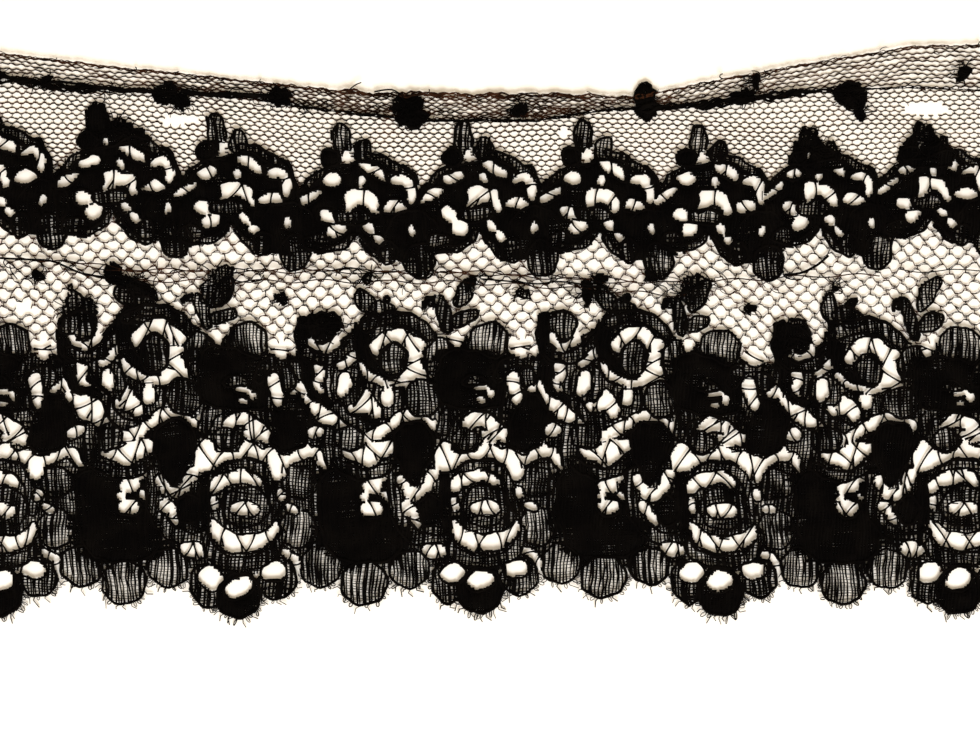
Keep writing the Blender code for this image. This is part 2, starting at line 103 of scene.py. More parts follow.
# The cloth of one repeat, which all its shapes lie on
ROSE_GROUND = Patch(CLOSE, ((-23.7, 26), (-22, 28.3), (-20.2, 31.2), (-16.3, 32.8),
    (-13.5, 32.8), (-10.2, 31.7), (-7.5, 29.3), (-5.2, 28.7), (-2.8, 28.7), (-0.8, 30.7),
    (1.5, 31), (3.5, 29.2), (4, 26), (6.2, 25.5), (8.7, 24.8), (9.2, 27.2), (9.2, 30),
    (10.8, 32.3), (13.2, 32.8), (15.3, 31.3), (15.8, 28.3), (17.5, 29.3), (19.5, 31.7),
    (20.8, 32.7), (20.8, 21.3), (20.8, 8), (20.8, -5.3), (18.8, -9.7), (12.8, -10.7),
    (6.2, -9.7), (0, -10.7), (-7.2, -9.7), (-13.8, -10.7), (-18.8, -9.7), (-23.7, -5.3),
    (-24.3, 8), (-24.3, 18)))
ROSE_SHAPES = (
    # dark flower with its round petals
    Oval(CLOSE, 8.3, 4.3, 2.7, 3.7, 83),
    Oval(OPEN, 8.8, -3.3, 3.3, 3.3),
    Oval(OPEN, 13, -9.5, 3.5, 3.5),
    Oval(OPEN, -12.5, -10, 3.5, 3.3),
    Oval(OPEN, 20, -12.2, 3.8, 3.7),
    Patch(SOLID, ((12.4, 4.9), (14.8, 6.4), (19.3, 6.5), (23.2, 5.7), (24.8, 1.7), (25.6, -2),
        (26, -6.2), (24, -8.4), (20.7, -8.9), (16.6, -8.6), (14.2, -7), (12.8, -3.7),
        (12.2, 0.5))),
    Oval(GAP, 20.8, 3.5, 1.7, 1, 5),
    Oval(GAP, 20.8, 0, 1.8, 1.2),
    Patch(GAP, ((19, 1.8), (19.7, 2.5), (20.2, 1.8), (19.5, 1.2))),
    Patch(GAP, ((22.3, 2.3), (23, 2.5), (23.3, 1.3), (22.7, 1.5))),
    Oval(GAP, 22.8, 5.3, 1.5, 0.58, 30),
    # curl on the rose's left, with the spade above it
    Band(CLOSE, ((-15.3, 6.3), (-15.3, 1.3), (-14.3, -1.8), (-12, -4.2), (-9.2, -5.3),
        (-6, -5)), 1.1, 1.3, 1),
    Oval(SOLID, -9.2, -0.3, 2.1, 2.6),
    Band(SOLID, ((-6.7, 6.3), (-6.7, 1.3), (-6.2, -3.7)), 0.67, 0.83, 0.67),
    Oval(GAP, -13.7, 4.3, 1.3, 1.1, -20),
    Oval(GAP, -12, 2.3, 1.7, 0.92, -5),
    Oval(GAP, -13, 0, 1.3, 0.92, -30),
    Oval(GAP, -11.7, -1.8, 1.3, 0.67, -58),
    Oval(GAP, -9, 5.2, 1.5, 0.92, 50),
    Oval(GAP, -9.7, 3.3, 0.92, 0.75),
    Oval(GAP, -8.3, -7, 2, 1.1, -8),
    Patch(SOLID, ((-12, 3.5), (-14, 6), (-15.2, 8.8), (-15.5, 11.7), (-14.2, 13.8),
        (-11.8, 14.7), (-9.5, 14), (-8.3, 11.7), (-8.8, 8.8), (-10.2, 6.3))),
    # rose
    Band(CLOSE, ((-6.2, -3.7), (-5.5, -6.7), (-3.2, -8.3), (0, -8.8), (3, -8.3), (5.3, -6.7),
        (6.2, -3.7)), 0.83, 1.1, 0.83),
    Patch(GAP, ((-5.5, -2.2), (-4.4, -2.8), (-2.5, -4.2), (0.3, -4.7), (2.8, -4.2), (4.3, -3.2),
        (5.3, -2.5), (5.6, -3.6), (4.6, -5.3), (2.5, -6.5), (-0.2, -7), (-2.9, -6.5),
        (-4.5, -5.2), (-5.4, -3.9))),
    Band(CLOSE, ((-5, 0), (-5, 3.3), (-3.7, 5.8), (-1, 7), (1.7, 6.8), (3.7, 5), (4.5, 2.3),
        (5, -0.7)), 0.83, 1.1, 0.83),
    Band(GAP, ((-5.5, 3), (-4.2, 4.3), (-2.2, 5), (0.2, 5.3), (1.8, 4)), 0.67, 0.92, 0.58),
    Oval(GAP, -5, 0.7, 0.5, 1.2),
    Oval(GAP, 5.7, 2.3, 0.67, 0.83),
    Oval(GAP, 7.7, 0, 1.1, 0.5, -20),
    Oval(CLOSE, 0, 0.2, 4, 3.5),
    Oval(GAP, -0.1, -0.2, 2.2, 1.1, -3),
    Oval(CLOSE, -6, -12.3, 3.7, 2.7, 97),
    Oval(CLOSE, 5.7, -11.5, 3.3, 3.3),
    Oval(SOLID, -0.7, -13.7, 4, 3.7, 90),
    Oval(CLEAR, -5.3, -10.8, 1.8, 1.6),
    Oval(CLEAR, -0.7, -12, 2.1, 1.5, 20),
    Oval(CLEAR, 5, -10.2, 2, 1.3),
    Patch(GAP, ((6.2, -6.8), (7.8, -7.2), (9, -8), (9.5, -9.3), (9.3, -11), (8.7, -10),
        (8, -8.5), (6.5, -7.8))),
    # open ground between the rose and the wave
    Patch(GAP, ((-8.3, 8.3), (-7.2, 10.8), (-6, 10.7), (-5.2, 9.3), (-3.3, 8.8), (-1.2, 9.3),
        (-0.3, 10.8), (0.8, 10.3), (2.3, 9.5), (3.8, 9.7), (5, 8.8), (7, 8.5), (8.5, 9.5),
        (9.7, 10.8), (10.7, 9.8), (12, 9.5), (13.3, 6.7), (12.5, 7), (11, 8.5), (9.2, 8.2),
        (7.3, 7.2), (6, 5), (4.8, 4.7), (3.8, 6.3), (2.5, 7.7), (0.3, 8.3), (-2.2, 8.2),
        (-4.2, 7.3), (-6, 6.3), (-7.8, 6.3))),
    # wave
    Band(CLOSE, ((-7, 12), (-6.3, 14.7), (-4.3, 16.5), (-1, 17.2), (2, 16.2), (4.2, 14),
        (5.2, 11.7)), 1, 1.3, 1.2),
    Patch(GAP, ((-3.8, 13.2), (-2.5, 15.2), (-0.5, 15.7), (1.5, 14.8), (3.2, 13), (4.2, 11.5),
        (3, 10.8), (1.8, 11.8), (0.5, 13), (-1.2, 13.7), (-2.7, 12.8))),
    Oval(CLOSE, -3.2, 11.3, 2.2, 2),
    Oval(GAP, 0.8, 11.7, 1.5, 0.58, -25),
    # upper flower
    Oval(OPEN, -7, 25.2, 3.5, 2.8, 90),
    Oval(OPEN, 0.7, 27.7, 3.3, 3.3, 90),
    Oval(CLOSE, -10.2, 18.3, 3.2, 3.2),
    Patch(SOLID, ((-7.7, 22.7), (-6.5, 26), (-3.8, 26.8), (-0.8, 26.3), (1.5, 25.3),
        (3.2, 24.3), (3.7, 22.2), (3.5, 18.8), (2.8, 16.7), (-0.5, 16.2), (-4.2, 16.5),
        (-6.8, 17.3), (-7.7, 19.7))),
    Oval(OPEN, -1.5, 21.3, 2, 1.1, 0, -0.5),
    Oval(CLEAR, -0.2, 19.8, 1.2, 0.43, 0, -0.25),
    Oval(CLEAR, 1.3, 18.8, 0.75, 0.5, 90),
    Oval(CLEAR, -0.5, 17.8, 0.75, 0.4),
    Patch(GAP, ((-5.5, 28.3), (-4.2, 29), (-3.2, 28.7), (-3.7, 27.3), (-4.3, 26.7))),
    # bulb, and the hook over it
    Patch(SOLID, ((6.2, 18.7), (7.8, 19.5), (9.5, 19), (10.5, 17), (11.2, 14.7), (10.7, 12.3),
        (9.7, 10.3), (7.8, 9.3), (5.3, 9.5), (3.8, 10.8), (4.2, 13.3), (5, 16))),
    Band(CLOSE, ((2.3, 21.3), (3.3, 23.7), (5.8, 24.7), (8.3, 24.2), (9.8, 22)),
        0.92, 1.1, 0.92),
    Oval(CLOSE, 7.3, 21.8, 2.2, 1.4, -85),
    Patch(GAP, ((4, 21.7), (5, 22.5), (5.8, 21.5), (6, 20), (6.2, 18.3), (5.7, 16.8), (4.7, 18),
        (4.2, 19.8))),
    Patch(GAP, ((7.5, 19.5), (8.7, 20.7), (9.7, 21.3), (10.5, 20.3), (10.3, 19.3),
        (8.8, 19.2))),
    Oval(GAP, 6.2, 26.5, 1.4, 1.6),
    # rings on their band
    Band(SOLID, ((10.8, 25), (10.8, 21.7), (12, 19.2), (14.7, 16.8), (17.7, 15.3)), 1, 1, 0.83),
    Patch(GAP, ((9.7, 19), (11.5, 18.2), (13.3, 17.2), (15.7, 15.8), (17.5, 14.5), (16.5, 13.3),
        (14.3, 14), (12.3, 14.8), (11.2, 16), (10.2, 17.5))),
    Oval(GAP, 11.7, 12.7, 1.3, 0.92, 15),
    Oval(GAP, 18.7, 12.8, 1.2, 0.75, -20),
    Patch(GAP, ((12, 23.7), (13.3, 24), (13.7, 22.7), (13, 20.8), (13.3, 19.5), (12.3, 19.7),
        (11.8, 21.7))),
    Oval(CLOSE, 17.2, 20.5, 3.5, 2.7, 85),
    Oval(CLOSE, 23.8, 18, 3.3, 2.8, 85),
    Band(CLOSE, ((15, 17.5), (17, 15.3), (19.2, 14), (22.2, 13.2), (25.3, 14.3), (27, 16)),
        0.92, 1, 0.83),
    Oval(CLEAR, 16.8, 20.7, 2.1, 0.97, 80),
    Oval(CLEAR, 23.8, 18.5, 1.5, 1, 80),
    Patch(GAP, ((20.2, 19.7), (21, 18.7), (22, 17.5), (22.7, 16.3), (22.3, 15.3), (21.3, 15),
        (20.5, 16), (19.2, 16), (17.5, 16.2), (17.3, 17.2), (18.7, 17.5), (19.5, 18.3))),
    Band(GAP, ((16.3, 13.3), (18.8, 11.8), (21.2, 12.2), (23.8, 13.7), (26.3, 15.3),
        (28.7, 15.2), (31.2, 13.8), (33.3, 14.8)), 0.67, 0.75, 0.67),
    # fish
    Patch(GAP, ((23.7, 11), (24.7, 10), (23.3, 8.7), (21.8, 7.7), (21, 6.8), (19.2, 7.5),
        (17.5, 8.2), (16.2, 9.3), (17.5, 9.5), (19.2, 9.7), (20.8, 10.8))),
    Oval(CLOSE, 17.1, 11.7, 2.5, 2.2),
    Band(CLOSE, ((14.5, 7.7), (17, 6.3), (19.5, 5.5), (22.5, 6.3), (25.5, 7.8)), 0.67, 1, 0.67),
    # scroll with its bud, and the arch that it ends in
    Band(SOLID, ((10.3, 31.7), (9.7, 28.8), (10.5, 26), (12.2, 24.7)), 1, 1.1, 1),
    Band(CLOSE, ((10.5, 26.3), (13.2, 25), (16.2, 25.8), (18.3, 27.8), (20, 30.2),
        (21.8, 31.7)), 1, 1.2, 1.2),
    Oval(CLOSE, 13, 30.2, 2.5, 2.5),
    Band(GAP, ((11.3, 28.5), (12.2, 27), (13.7, 26.5), (15.2, 27.5), (15.8, 29)),
        0.42, 0.6, 0.5),
    Patch(GAP, ((15.7, 24), (17, 24.8), (18.2, 26.2), (19.5, 26.7), (19.3, 25.5), (18, 24.5),
        (16.3, 23.3))),
    Band(SOLID, ((20, 31), (19.7, 27.7), (20.5, 25), (22.5, 22.8), (25.2, 21.8)), 1, 1.2, 1),
    Band(CLOSE, ((20, 30.5), (22.3, 31.7), (25.7, 32), (28.8, 31), (31.5, 28.8)), 1, 1.2, 0.92),
    Patch(GAP, ((21.3, 27.3), (22.5, 28.8), (24.5, 30), (26.7, 30), (28.3, 28.8), (30.3, 27.7),
        (29.8, 26.7), (27.5, 26.3), (26.5, 27.5), (24.8, 27.8), (23.3, 27), (22.5, 26),
        (21.5, 26.2))),
    Oval(CLOSE, 25, 25, 3, 2.5, 85),
    Patch(GAP, ((19.7, 24.3), (21.2, 22.7), (22.8, 21.7), (25.2, 21.3), (26.7, 21.7),
        (26.8, 20.7), (24.8, 20.3), (22.8, 20.7), (20.8, 21.5), (19.5, 23))),
    Patch(GAP, ((27.5, 25.8), (29.8, 26), (29.5, 24.8), (30.2, 23.3), (30.5, 21.8),
        (29.5, 20.5), (28.8, 19.3), (27.5, 19.5), (26.8, 20.5), (26.2, 21.7), (26.8, 22.8),
        (27.5, 24.2))),
    # small leaves standing in the net
    Oval(CLOSE, 20.2, 34.7, 2.4, 1.4, -55),
    Oval(CLOSE, 23.2, 33.3, 2.2, 1.5, -25),
    Oval(SOLID, 23.7, 35.2, 0.75, 0.58, 40),
    Oval(CLOSE, -3.3, 36, 2.9, 1.4, 65),
    Oval(CLOSE, -3.3, 31.7, 2.5, 1.2, 22),
    Band(CLOSE, ((-9.2, 34.2), (-7.8, 34.8), (-6.7, 33), (-6, 29.7)), 0.42, 1.1, 0.83),
    Band(SOLID, ((-9.8, 33.7), (-9.7, 34.8), (-8.3, 35.2)), 0.27, 0.33, 0.27),
)
SPRAY_PLACES = (
    Place(-86, 27.6, 1, 1, 3),
    Place(-65.2, 26.2, 1, 1, 2),
    Place(-45.6, 24.5, 1.03, 1, 1),
    Place(-24.7, 23.4, 1.02, 1, 0),
    Place(-4.2, 23.5, 1.02, 1, 0),
    Place(15.8, 23.3, 1, 1, 0),
    Place(34.8, 23.3, 0.97, 0.98, -1),
    Place(53.4, 23.8, 0.94, 0.9, -1),
    Place(71.8, 24.5, 0.92, 0.88, 1),
)
SPRAY_SHAPES = (
    Patch(SOLID, ((-7.3, 0), (-5.8, 2), (-4, 3.7), (-2.2, 4.2), (2.2, 5), (5, 6.2), (7.5, 5.8),
        (9.3, 4.5), (11, 4), (12.3, 2), (13, -0.8), (13.5, -4.2), (13.5, -9), (12, -11.4),
        (9.2, -11.6), (7.2, -11.6), (5.5, -10.5), (3.8, -8.8), (2.2, -6.8), (1.2, -8.3),
        (-1.3, -10), (-4.2, -10.3), (-6.2, -9.2), (-6.8, -7), (-7.5, -3.3))),
    Band(CLOSE, ((3.6, 6.2), (6.4, 5.5), (9, 3.8), (10.8, 2.3), (12, -0.3)), 0.6, 0.75, 0.6),
    Band(CLOSE, ((-4.4, -9.3), (-1.6, -9.5), (0.5, -8.5), (1.8, -6.8)), 0.5, 0.6, 0.4),
    Band(CLOSE, ((3, -7.8), (4.6, -9.8), (6.2, -11.3)), 0.4, 0.55, 0.5),
    Band(CLOSE, ((-5.7, 1), (-4.1, 2.8), (-1.9, 3.8)), 0.5, 0.6, 0.5),
    Oval(CLOSE, 8, 2.2, 1.3, 1, -50),
    Oval(CLOSE, 0, 8.7, 3.1, 1.5, 92),
    Oval(SOLID, -1.9, 5.7, 1.7, 1.6),
    Oval(CLOSE, 3.3, 6.9, 2.1, 1.45, 80),
    Oval(CLEAR, 0.8, 5.7, 1.3, 0.6, 90),
    Oval(SOLID, 11.3, -7, 4.5, 4.2),
    Oval(CLOSE, 12.5, -11.4, 3.1, 2.7, 90),
    Oval(CLOSE, 7.3, -10, 2.1, 1.7, 90),
    Oval(CLOSE, 1.5, -4, 3, 1.4),
    Oval(CLOSE, -4.2, -8.4, 2.2, 1.5),
    Oval(GAP, -1.8, 2.2, 1.6, 1.1, 10),
    Oval(CLEAR, 3, 1.8, 1, 0.7, 90),
    Oval(GAP, 5.1, 3.6, 2.5, 0.95, -30, -0.3),
    Band(GAP, ((8, 1.6), (10, 2), (11.1, 0.2), (11, -1.7)), 0.5, 0.85, 0.5),
    Oval(GAP, -5.4, -0.8, 2.3, 0.8, 30),
    Patch(GAP, ((0.5, 0), (1.7, 0.6), (3.1, 0.3), (4.9, -0.2), (5.6, -1.7), (5.8, -3.5),
        (4.8, -3.7), (4.1, -2.5), (2.8, -2), (1.5, -2.7), (0.4, -3), (0.5, -1.5))),
    Oval(GAP, 8.4, -2.1, 1.9, 1.05, 0, -0.6),
    Oval(GAP, -2.6, -3.9, 1.5, 1.15, -35),
    Oval(GAP, -1, -6.3, 1.6, 1.2, 20),
    Oval(GAP, 4.2, -5.9, 1.15, 0.8, -55),
    Oval(GAP, 5.7, -7.8, 1.1, 0.7, -45),
    Oval(CLEAR, 11.2, -6.3, 1.1, 0.65, 90),
)

# How a net is made: from one row to the next, from one cell to the next, how far a row swings
# as a share of the spacing, half the thread's width and the ties' share of that, how many
# strands lie side by side and how far apart, how uneven it is, and how high over the table it
# lies
Net = namedtuple("Net", "spacing period swing radius tie strands apart jitter height")
FINE_NET = Net(0.78, 1.56, 0.15, 0.085, 0.6, 1, 0.0, 0.07, 0.16)
COARSE_NET = Net(1.36, 2.66, 0.24, 0.058, 1.1, 2, 0.12, 0.12, 0.42)

# The heading's top edge, the line it is gathered on, and the crease along the coarse net
HEADING_EDGE = (
    (-84, 46.6), (-62, 43.7), (-40, 41.8), (-20, 39.9), (0, 39.2), (24, 39), (38, 42),
    (58, 45.8), (70, 47.3), (84, 47.3),
)
GATHER_LINE = (
    (-84, 42.8), (-70, 40.3), (-55, 39.6), (-40, 39), (-25, 37), (-10, 35.4), (8, 34.8),
    (20, 36.8), (35, 38), (55, 40.3), (70, 40.7), (84, 40),
)
SPRAY_LINE = ((-84, 27), (-65, 25.6), (-45, 23.6), (-25, 22.4), (-4, 22.4), (35, 22), (84, 22))
CREASE_LINE = (
    (-84, 12), (-72, 11), (-60, 9), (-30, 9.5), (-5, 9), (12, 8), (30, 7), (55, 8.5), (84, 8.6),
)
# x, and how far apart the hem's drawn-together rows of net lie there
HEM_SPACING = (
    (-84, 0.66), (-60, 0.6), (-40, 0.46), (-20, 0.4), (20, 0.38), (30, 0.45), (50, 0.62),
    (84, 0.72),
)
# x, and how thick the threads along the heading edge and along the gathers are there, as half
# their width
EDGE_THICKNESS = (
    (-84, 0.12), (-32, 0.14), (-24, 0.26), (-14, 0.34), (15, 0.3), (24, 0.24), (32, 0.12),
    (84, 0.12),
)
GATHER_THICKNESS = (
    (-84, 0.5), (-72, 0.5), (-60, 0.34), (-50, 0.22), (-35, 0.14), (-22, 0.2), (20, 0.14),
    (27, 0.45), (46, 0.5), (58, 0.26), (70, 0.08), (84, 0.06),
)
# x, and how tightly the net is drawn together along the crease there
CREASE_TIGHTNESS = (
    (-84, 0.3), (-60, 0.6), (-35, 0.65), (-10, 0.35), (10, 0.55), (30, 0.4), (84, 0.1),
)
KNOTS = (
    Oval(SOLID, -54.3, 39.4, 2.2, 1.6, 40),
    Oval(SOLID, -51.8, 37.8, 1.5, 1.3, 0),
    Oval(SOLID, -35, 39.4, 1.9, 1.6, 0),
    Oval(SOLID, -13.6, 38, 2.6, 1.7, 5),
    Oval(SOLID, -12.9, 35.8, 2.9, 1.2, 5),
    Oval(SOLID, 5.2, 36.7, 1.7, 0.9, 20),
    Oval(SOLID, 25.8, 38.4, 3.4, 1.9, 95),
    Oval(SOLID, 42, 39.4, 2, 1, 10),
    Oval(SOLID, 59.9, 39.4, 2.8, 2.1, -35),
    Oval(SOLID, 61.2, 36.8, 1.8, 0.9, -70),
    Oval(SOLID, 79, 43, 1.6, 0.9, 40),
    Oval(SOLID, 43.8, 41.8, 1.6, 0.55, 85),
    Oval(SOLID, -74.2, 41.6, 1, 0.6, 10),
)
TEARS = (
    Oval(CLEAR, -51.9, 35, 3.4, 0.8, 4),
    Oval(CLEAR, 12.6, 32.9, 1, 0.9, 0),
    Oval(CLEAR, 72.7, 37, 4, 1.2, 0),
    Oval(CLEAR, -78, 4, 1.7, 1.2, 10),
)
SPOTS = (
    Oval(SOLID, -75.3, 9, 1.1, 0.8, 20),
    Oval(SOLID, -34.7, 5.8, 1.3, 0.8, -15),
    Oval(CLOSE, -20.6, 8.9, 0.7, 0.7),
    Oval(CLOSE, 5.2, 6.2, 1.1, 0.9),
    Oval(SOLID, 18, 8.6, 1.3, 0.7, 5),
    Oval(SOLID, 43.2, 4, 0.9, 0.7),
    Oval(SOLID, 57.8, 7.5, 0.7, 0.7),
    Oval(SOLID, 26.6, 9, 1, 0.8),
    Oval(SOLID, -3.4, 8, 0.9, 0.7),
)
# Dark ragged curls and leaves that only one repeat has
RAGGED = (
    Patch(CLOSE, ((-71.7, 0.2), (-71.3, 2.7), (-70.5, 4.8), (-69.8, 6.3), (-70.2, 7.5),
        (-69, 7), (-67.7, 5.7), (-66.2, 4.7), (-65.5, 2.8), (-66.2, 1.3), (-67.7, 2),
        (-68.5, 0.7), (-69.7, -0.5))),
    Patch(SOLID, ((-29.8, -1.2), (-30.3, 0.2), (-29.7, 2.8), (-28, 3.6), (-26, 3.4),
        (-24.6, 2.5), (-24.4, 0.9), (-25.6, 0), (-27, 0.2), (-28.4, -1))),
    Patch(SOLID, ((-67.6, 34.8), (-67, 37.2), (-65.8, 38), (-64.5, 37.2), (-63.7, 35.2),
        (-62.5, 35), (-60.3, 34.3), (-58.3, 33), (-56.7, 31.8), (-58.3, 30.8), (-61.7, 30.8),
        (-67.7, 30.2), (-67.2, 32.4))),
    Patch(SOLID, ((48.2, -3.5), (47.7, -1.2), (48.7, 1.2), (50.5, 1.5), (52.7, 0.5),
        (53.7, -1.2), (52.7, -2.7), (51, -2.2), (49.8, -3.5))),
    Patch(SOLID, ((-64, 8.8), (-63.7, 10.8), (-62.7, 11.7), (-61.5, 10.7), (-61, 9.2),
        (-59, 8.7), (-56.7, 7.3), (-55.2, 5.7), (-56.3, 4.7), (-58.2, 5.7), (-60.2, 6.7),
        (-62.2, 7.2))),
    Patch(CLOSE, ((-47.8, 4.8), (-47.7, 7.2), (-46.5, 9.3), (-45.2, 10.8), (-43.2, 10.8),
        (-42.3, 9.8), (-43.5, 8.5), (-43.2, 7), (-44, 5.5), (-44.8, 4), (-46.3, 3.7))),
    Patch(SOLID, ((15.5, 4.7), (15.2, 6.5), (15.5, 8.3), (16.3, 8.7), (17, 7), (16.8, 5.2),
        (16.3, 4.3))),
    Patch(CLOSE, ((32.3, 4.8), (32, 7.2), (32.8, 9), (34.5, 9.5), (35.8, 9.2), (35.3, 7.8),
        (34.5, 6.7), (34, 4.8))),
    Patch(SOLID, ((50.6, 30.6), (51.4, 33), (52.2, 34.4), (53.3, 33.6), (54.6, 32.7),
        (55.6, 31.3), (57.2, 31), (58.3, 29.8), (58.6, 27.9), (56.4, 27), (53.4, 27.2),
        (51.1, 28.6))),
    Patch(SOLID, ((68.3, 30.2), (69.4, 31.4), (70.4, 33.2), (71.6, 32.6), (73, 34.6),
        (73.8, 32.4), (75.8, 31), (77.4, 29.4), (77, 28), (74, 27.3), (70.6, 27.4),
        (68, 28.6))),
)
# Small holes that were left in the ragged tops of the sprays
HOLES = (
    Oval(CLEAR, -64.3, 31.7, 0.8, 0.4, 90),
    Oval(CLEAR, 53.3, 29.7, 0.7, 0.35, 80),
    Oval(CLEAR, 71.8, 30.9, 0.8, 0.4, 70),
)
# Long loose threads: their points, and half their width
LOOSE = (
    (((-82, 12.3), (-77, 12), (-73, 11.7), (-70, 10.5), (-67.7, 9.5), (-63.5, 8.7)), 0.17),
    (((49.2, 9.7), (52, 10), (54.7, 11.3), (56.7, 13)), 0.2),
    (((-1.7, 8.7), (2.5, 8.3), (7.7, 7.8), (11.7, 8.2), (18.3, 7.3)), 0.14),
    (((-14.2, 10.2), (-12, 9.2), (-10.3, 9), (-9.5, 10.2), (-10.3, 11.5)), 0.17),
    (((-2, 9), (-1.3, 9.5), (-0.5, 9), (-1, 8.3)), 0.15),
    (((-49, 11.5), (-47.3, 10.8), (-45, 9.3), (-40.7, 8.3), (-38, 8.7)), 0.1),
    (((68.3, 10.5), (72.5, 9.8), (77.5, 10.2), (82.3, 9.8)), 0.09),
    (((-26.7, 10.2), (-23.3, 10.8), (-19.2, 9.8), (-15.3, 10.3)), 0.1),
    (((-19.2, 40.2), (-16.3, 40.5), (-14.3, 39.3)), 0.13),
    (((-51.5, 40), (-47.5, 39.4), (-43, 39.6), (-36, 39.3)), 0.36),
    (((-72, 41.6), (-66, 40.6), (-60, 39.9), (-54, 39.4)), 0.2),
    (((-23.3, 40.5), (-22.3, 41.3), (-21.3, 41.7)), 0.1),
)
# Where the handled cloth has slipped out of its repeat: x, y, how far that reaches along X and
# Y, and the slip
SLIPS = (
    (67, -2, 20, 9, -1.2, -1.9),
    (75, 6, 8, 6, -2, 0.5),
    (38, -3, 9, 12, -1.6, -0.7),
    (-57, -1, 10, 6, 0, 1.1),
    (-66.7, -12.3, 4, 3, 1.6, 0.9),
    (-43.7, -42.8, 6, 6, 0, -1.4),
    (54.5, 24, 8, 4.5, -1.2, 1),
    (72, 24.5, 8, 4.5, -0.8, 0.8),
    (-57, 27, 12, 5, 0.6, -0.4),
    (60, 4.5, 4.5, 3.5, -2.4, -0.3),
    (-20, -20, 30, 12, 0.3, 0.3),
    (20, -45, 9, 8, -0.4, 0.9),
    (-64, -45, 5, 6, 0.3, -0.7),
)
# The notches of the scalloped edge, measured from the middle of the rose
EDGE_NOTCHES = (
    (0, -12), (2.8, -12.8), (9.7, -11.7), (16.7, -12), (24.8, -11.7), (31.5, -10.3), (37, -15),
)

# How far the cords of each band pull a gap open past its charted edge, and how far apart the
# bars across it are
GAP_SPREAD = {"upper": 0.04, "lower": 0.15}
BAR_SPACING = {"upper": 3.4, "lower": 2.2}
# Where the lower band ends and the upper one starts, and the far ends of both
BORDER, LOWEST, HIGHEST = 9.0, -50.0, 45.0
# The loops stand along the edge that lies below this
EDGE_TOP = -34

# The chart is a grid of tones: its step, its lowest corner, and its rows and columns
CHART_STEP = 0.1
CHART_X, CHART_Y = -86.0, -52.0
CHART_SHAPE = (1040, 1720)

# How high the cloth lies, how much higher the gathers and the crease lift it, and how far from
# their lines that starts
CLOTH_HEIGHT = 0.56
GATHER_LIFT, GATHER_REACH = 0.06, 2.5
CREASE_LIFT, CREASE_REACH = 0.5, 2.4
# The small drift of the cloth fades out over this stretch at each cut end
END_FADE = 3.0
# How far over the cloth the cords, the bars, the loose threads and those of the crease lie
CORD_LIFT, BAR_LIFT, LOOSE_LIFT, CREASE_THREAD_LIFT = 0.2, 0.1, 0.35, 0.2
# Half the width of the cord round a piece of cloth, round a gap, and of a thread of the crease
CLOTH_CORD, GAP_CORD, CREASE_THREAD = 0.235, 0.2, 0.1
# Half the width of a bar from one end to the other, and of the fork at its end. This share of
# the bars that are longer than so many steps of the chart is forked.
BAR_RADII, FORK_RADII = [0.22, 0.15, 0.13, 0.15, 0.22], [0.13, 0.2]
FORK_SHARE, FORK_LENGTH = 0.45, 16
# This share of what stands along the scalloped edge is loops, and the rest is frayed ends
LOOP_SHARE = 0.62
# How many rows of net are drawn together in the hem
HEM_ROWS = 16
# From one point of an oval's outline to the next, and the fewest and the most that it has
POINT_GAP, FEWEST_POINTS, MOST_POINTS = 0.6, 10, 40
# Where a net thread bends in each cell, as a share of the cell, and to which side. It is thick
# where it runs along its neighbour and thin on its way across.
NET_BENDS = ((-0.13, 1), (0.13, 1), (0.25, 0), (0.37, -1), (0.63, -1), (0.75, 0))
NET_THICK, NET_THIN = 1.25, 0.75
# A full turn in radians, to two places
FULL_TURN = 6.28
# Where the random draws of each piece or group start
SEEDS = {
    "cloth": 11, "dense_cloth": 12, "cords": 21, "fine_net": 31, "coarse_net": 32, "bars": 33,
    "heading": 41, "picots": 51,
}


def draws(name):
    """The random draws of one piece or group of pieces."""
    return random.Random(SEEDS[name])


def height_on(line, x):
    """The second value of a line that runs along the trim, at this X."""
    return float(np.interp(x, [p[0] for p in line], [p[1] for p in line]))


def smooth_line(points, steps=4, closed=False):
    """Points on a smooth curve through the given ones."""
    line = [Vector(p) for p in points]
    ends = [line[-1], *line, line[0], line[1]] if closed else [line[0], *line, line[-1]]
    found = []
    for before, start, stop, after in zip(ends, ends[1:], ends[2:], ends[3:]):
        for step in range(steps):
            t = step / steps
            found.append(0.5 * (
                2 * start + (stop - before) * t
                + (2 * before - 5 * start + 4 * stop - after) * t * t
                + (3 * start - before - 3 * stop + after) * t ** 3
            ))
    return found if closed else [*found, line[-1]]


def outline_of(shape):
    """A shape's closed outline, as points about half a millimetre apart."""
    if isinstance(shape, Patch):
        return smooth_line(shape.points, closed=True)
    if isinstance(shape, Band):
        return band_outline(shape)
    turn = math.radians(shape.turn)
    count = round(math.pi * (shape.long + shape.wide) / POINT_GAP)
    count = max(FEWEST_POINTS, min(MOST_POINTS, count))
    outline = []
    for point in range(count):
        angle = 2 * math.pi * point / count
        along = math.cos(angle)
        u = shape.long * along
        v = shape.wide * math.sin(angle) * (1 - shape.tip * along) + shape.bend * along * along
        outline.append(Vector((
            shape.x + u * math.cos(turn) - v * math.sin(turn),
            shape.y + u * math.sin(turn) + v * math.cos(turn),
        )))
    return outline


def band_outline(band):
    """A band's closed outline: both its sides, and a blunt point at each end."""
    line = smooth_line(band.points)
    last = len(line) - 1
    blunt = 0.7
    left, right = [], []
    for i, point in enumerate(line):
        t = i / last
        across = (line[min(i + 1, last)] - line[max(i - 1, 0)]).orthogonal().normalized()
        half = (
            band.start * (1 - t) * (1 - 2 * t) + 4 * band.middle * t * (1 - t)
            + band.end * t * (2 * t - 1)
        )
        left.append(point + across * half)
        right.append(point - across * half)
    first = line[0] - (line[1] - line[0]).normalized() * band.start * blunt
    end = line[last] + (line[last] - line[last - 1]).normalized() * band.end * blunt
    return [first, *left, end, *reversed(right)]


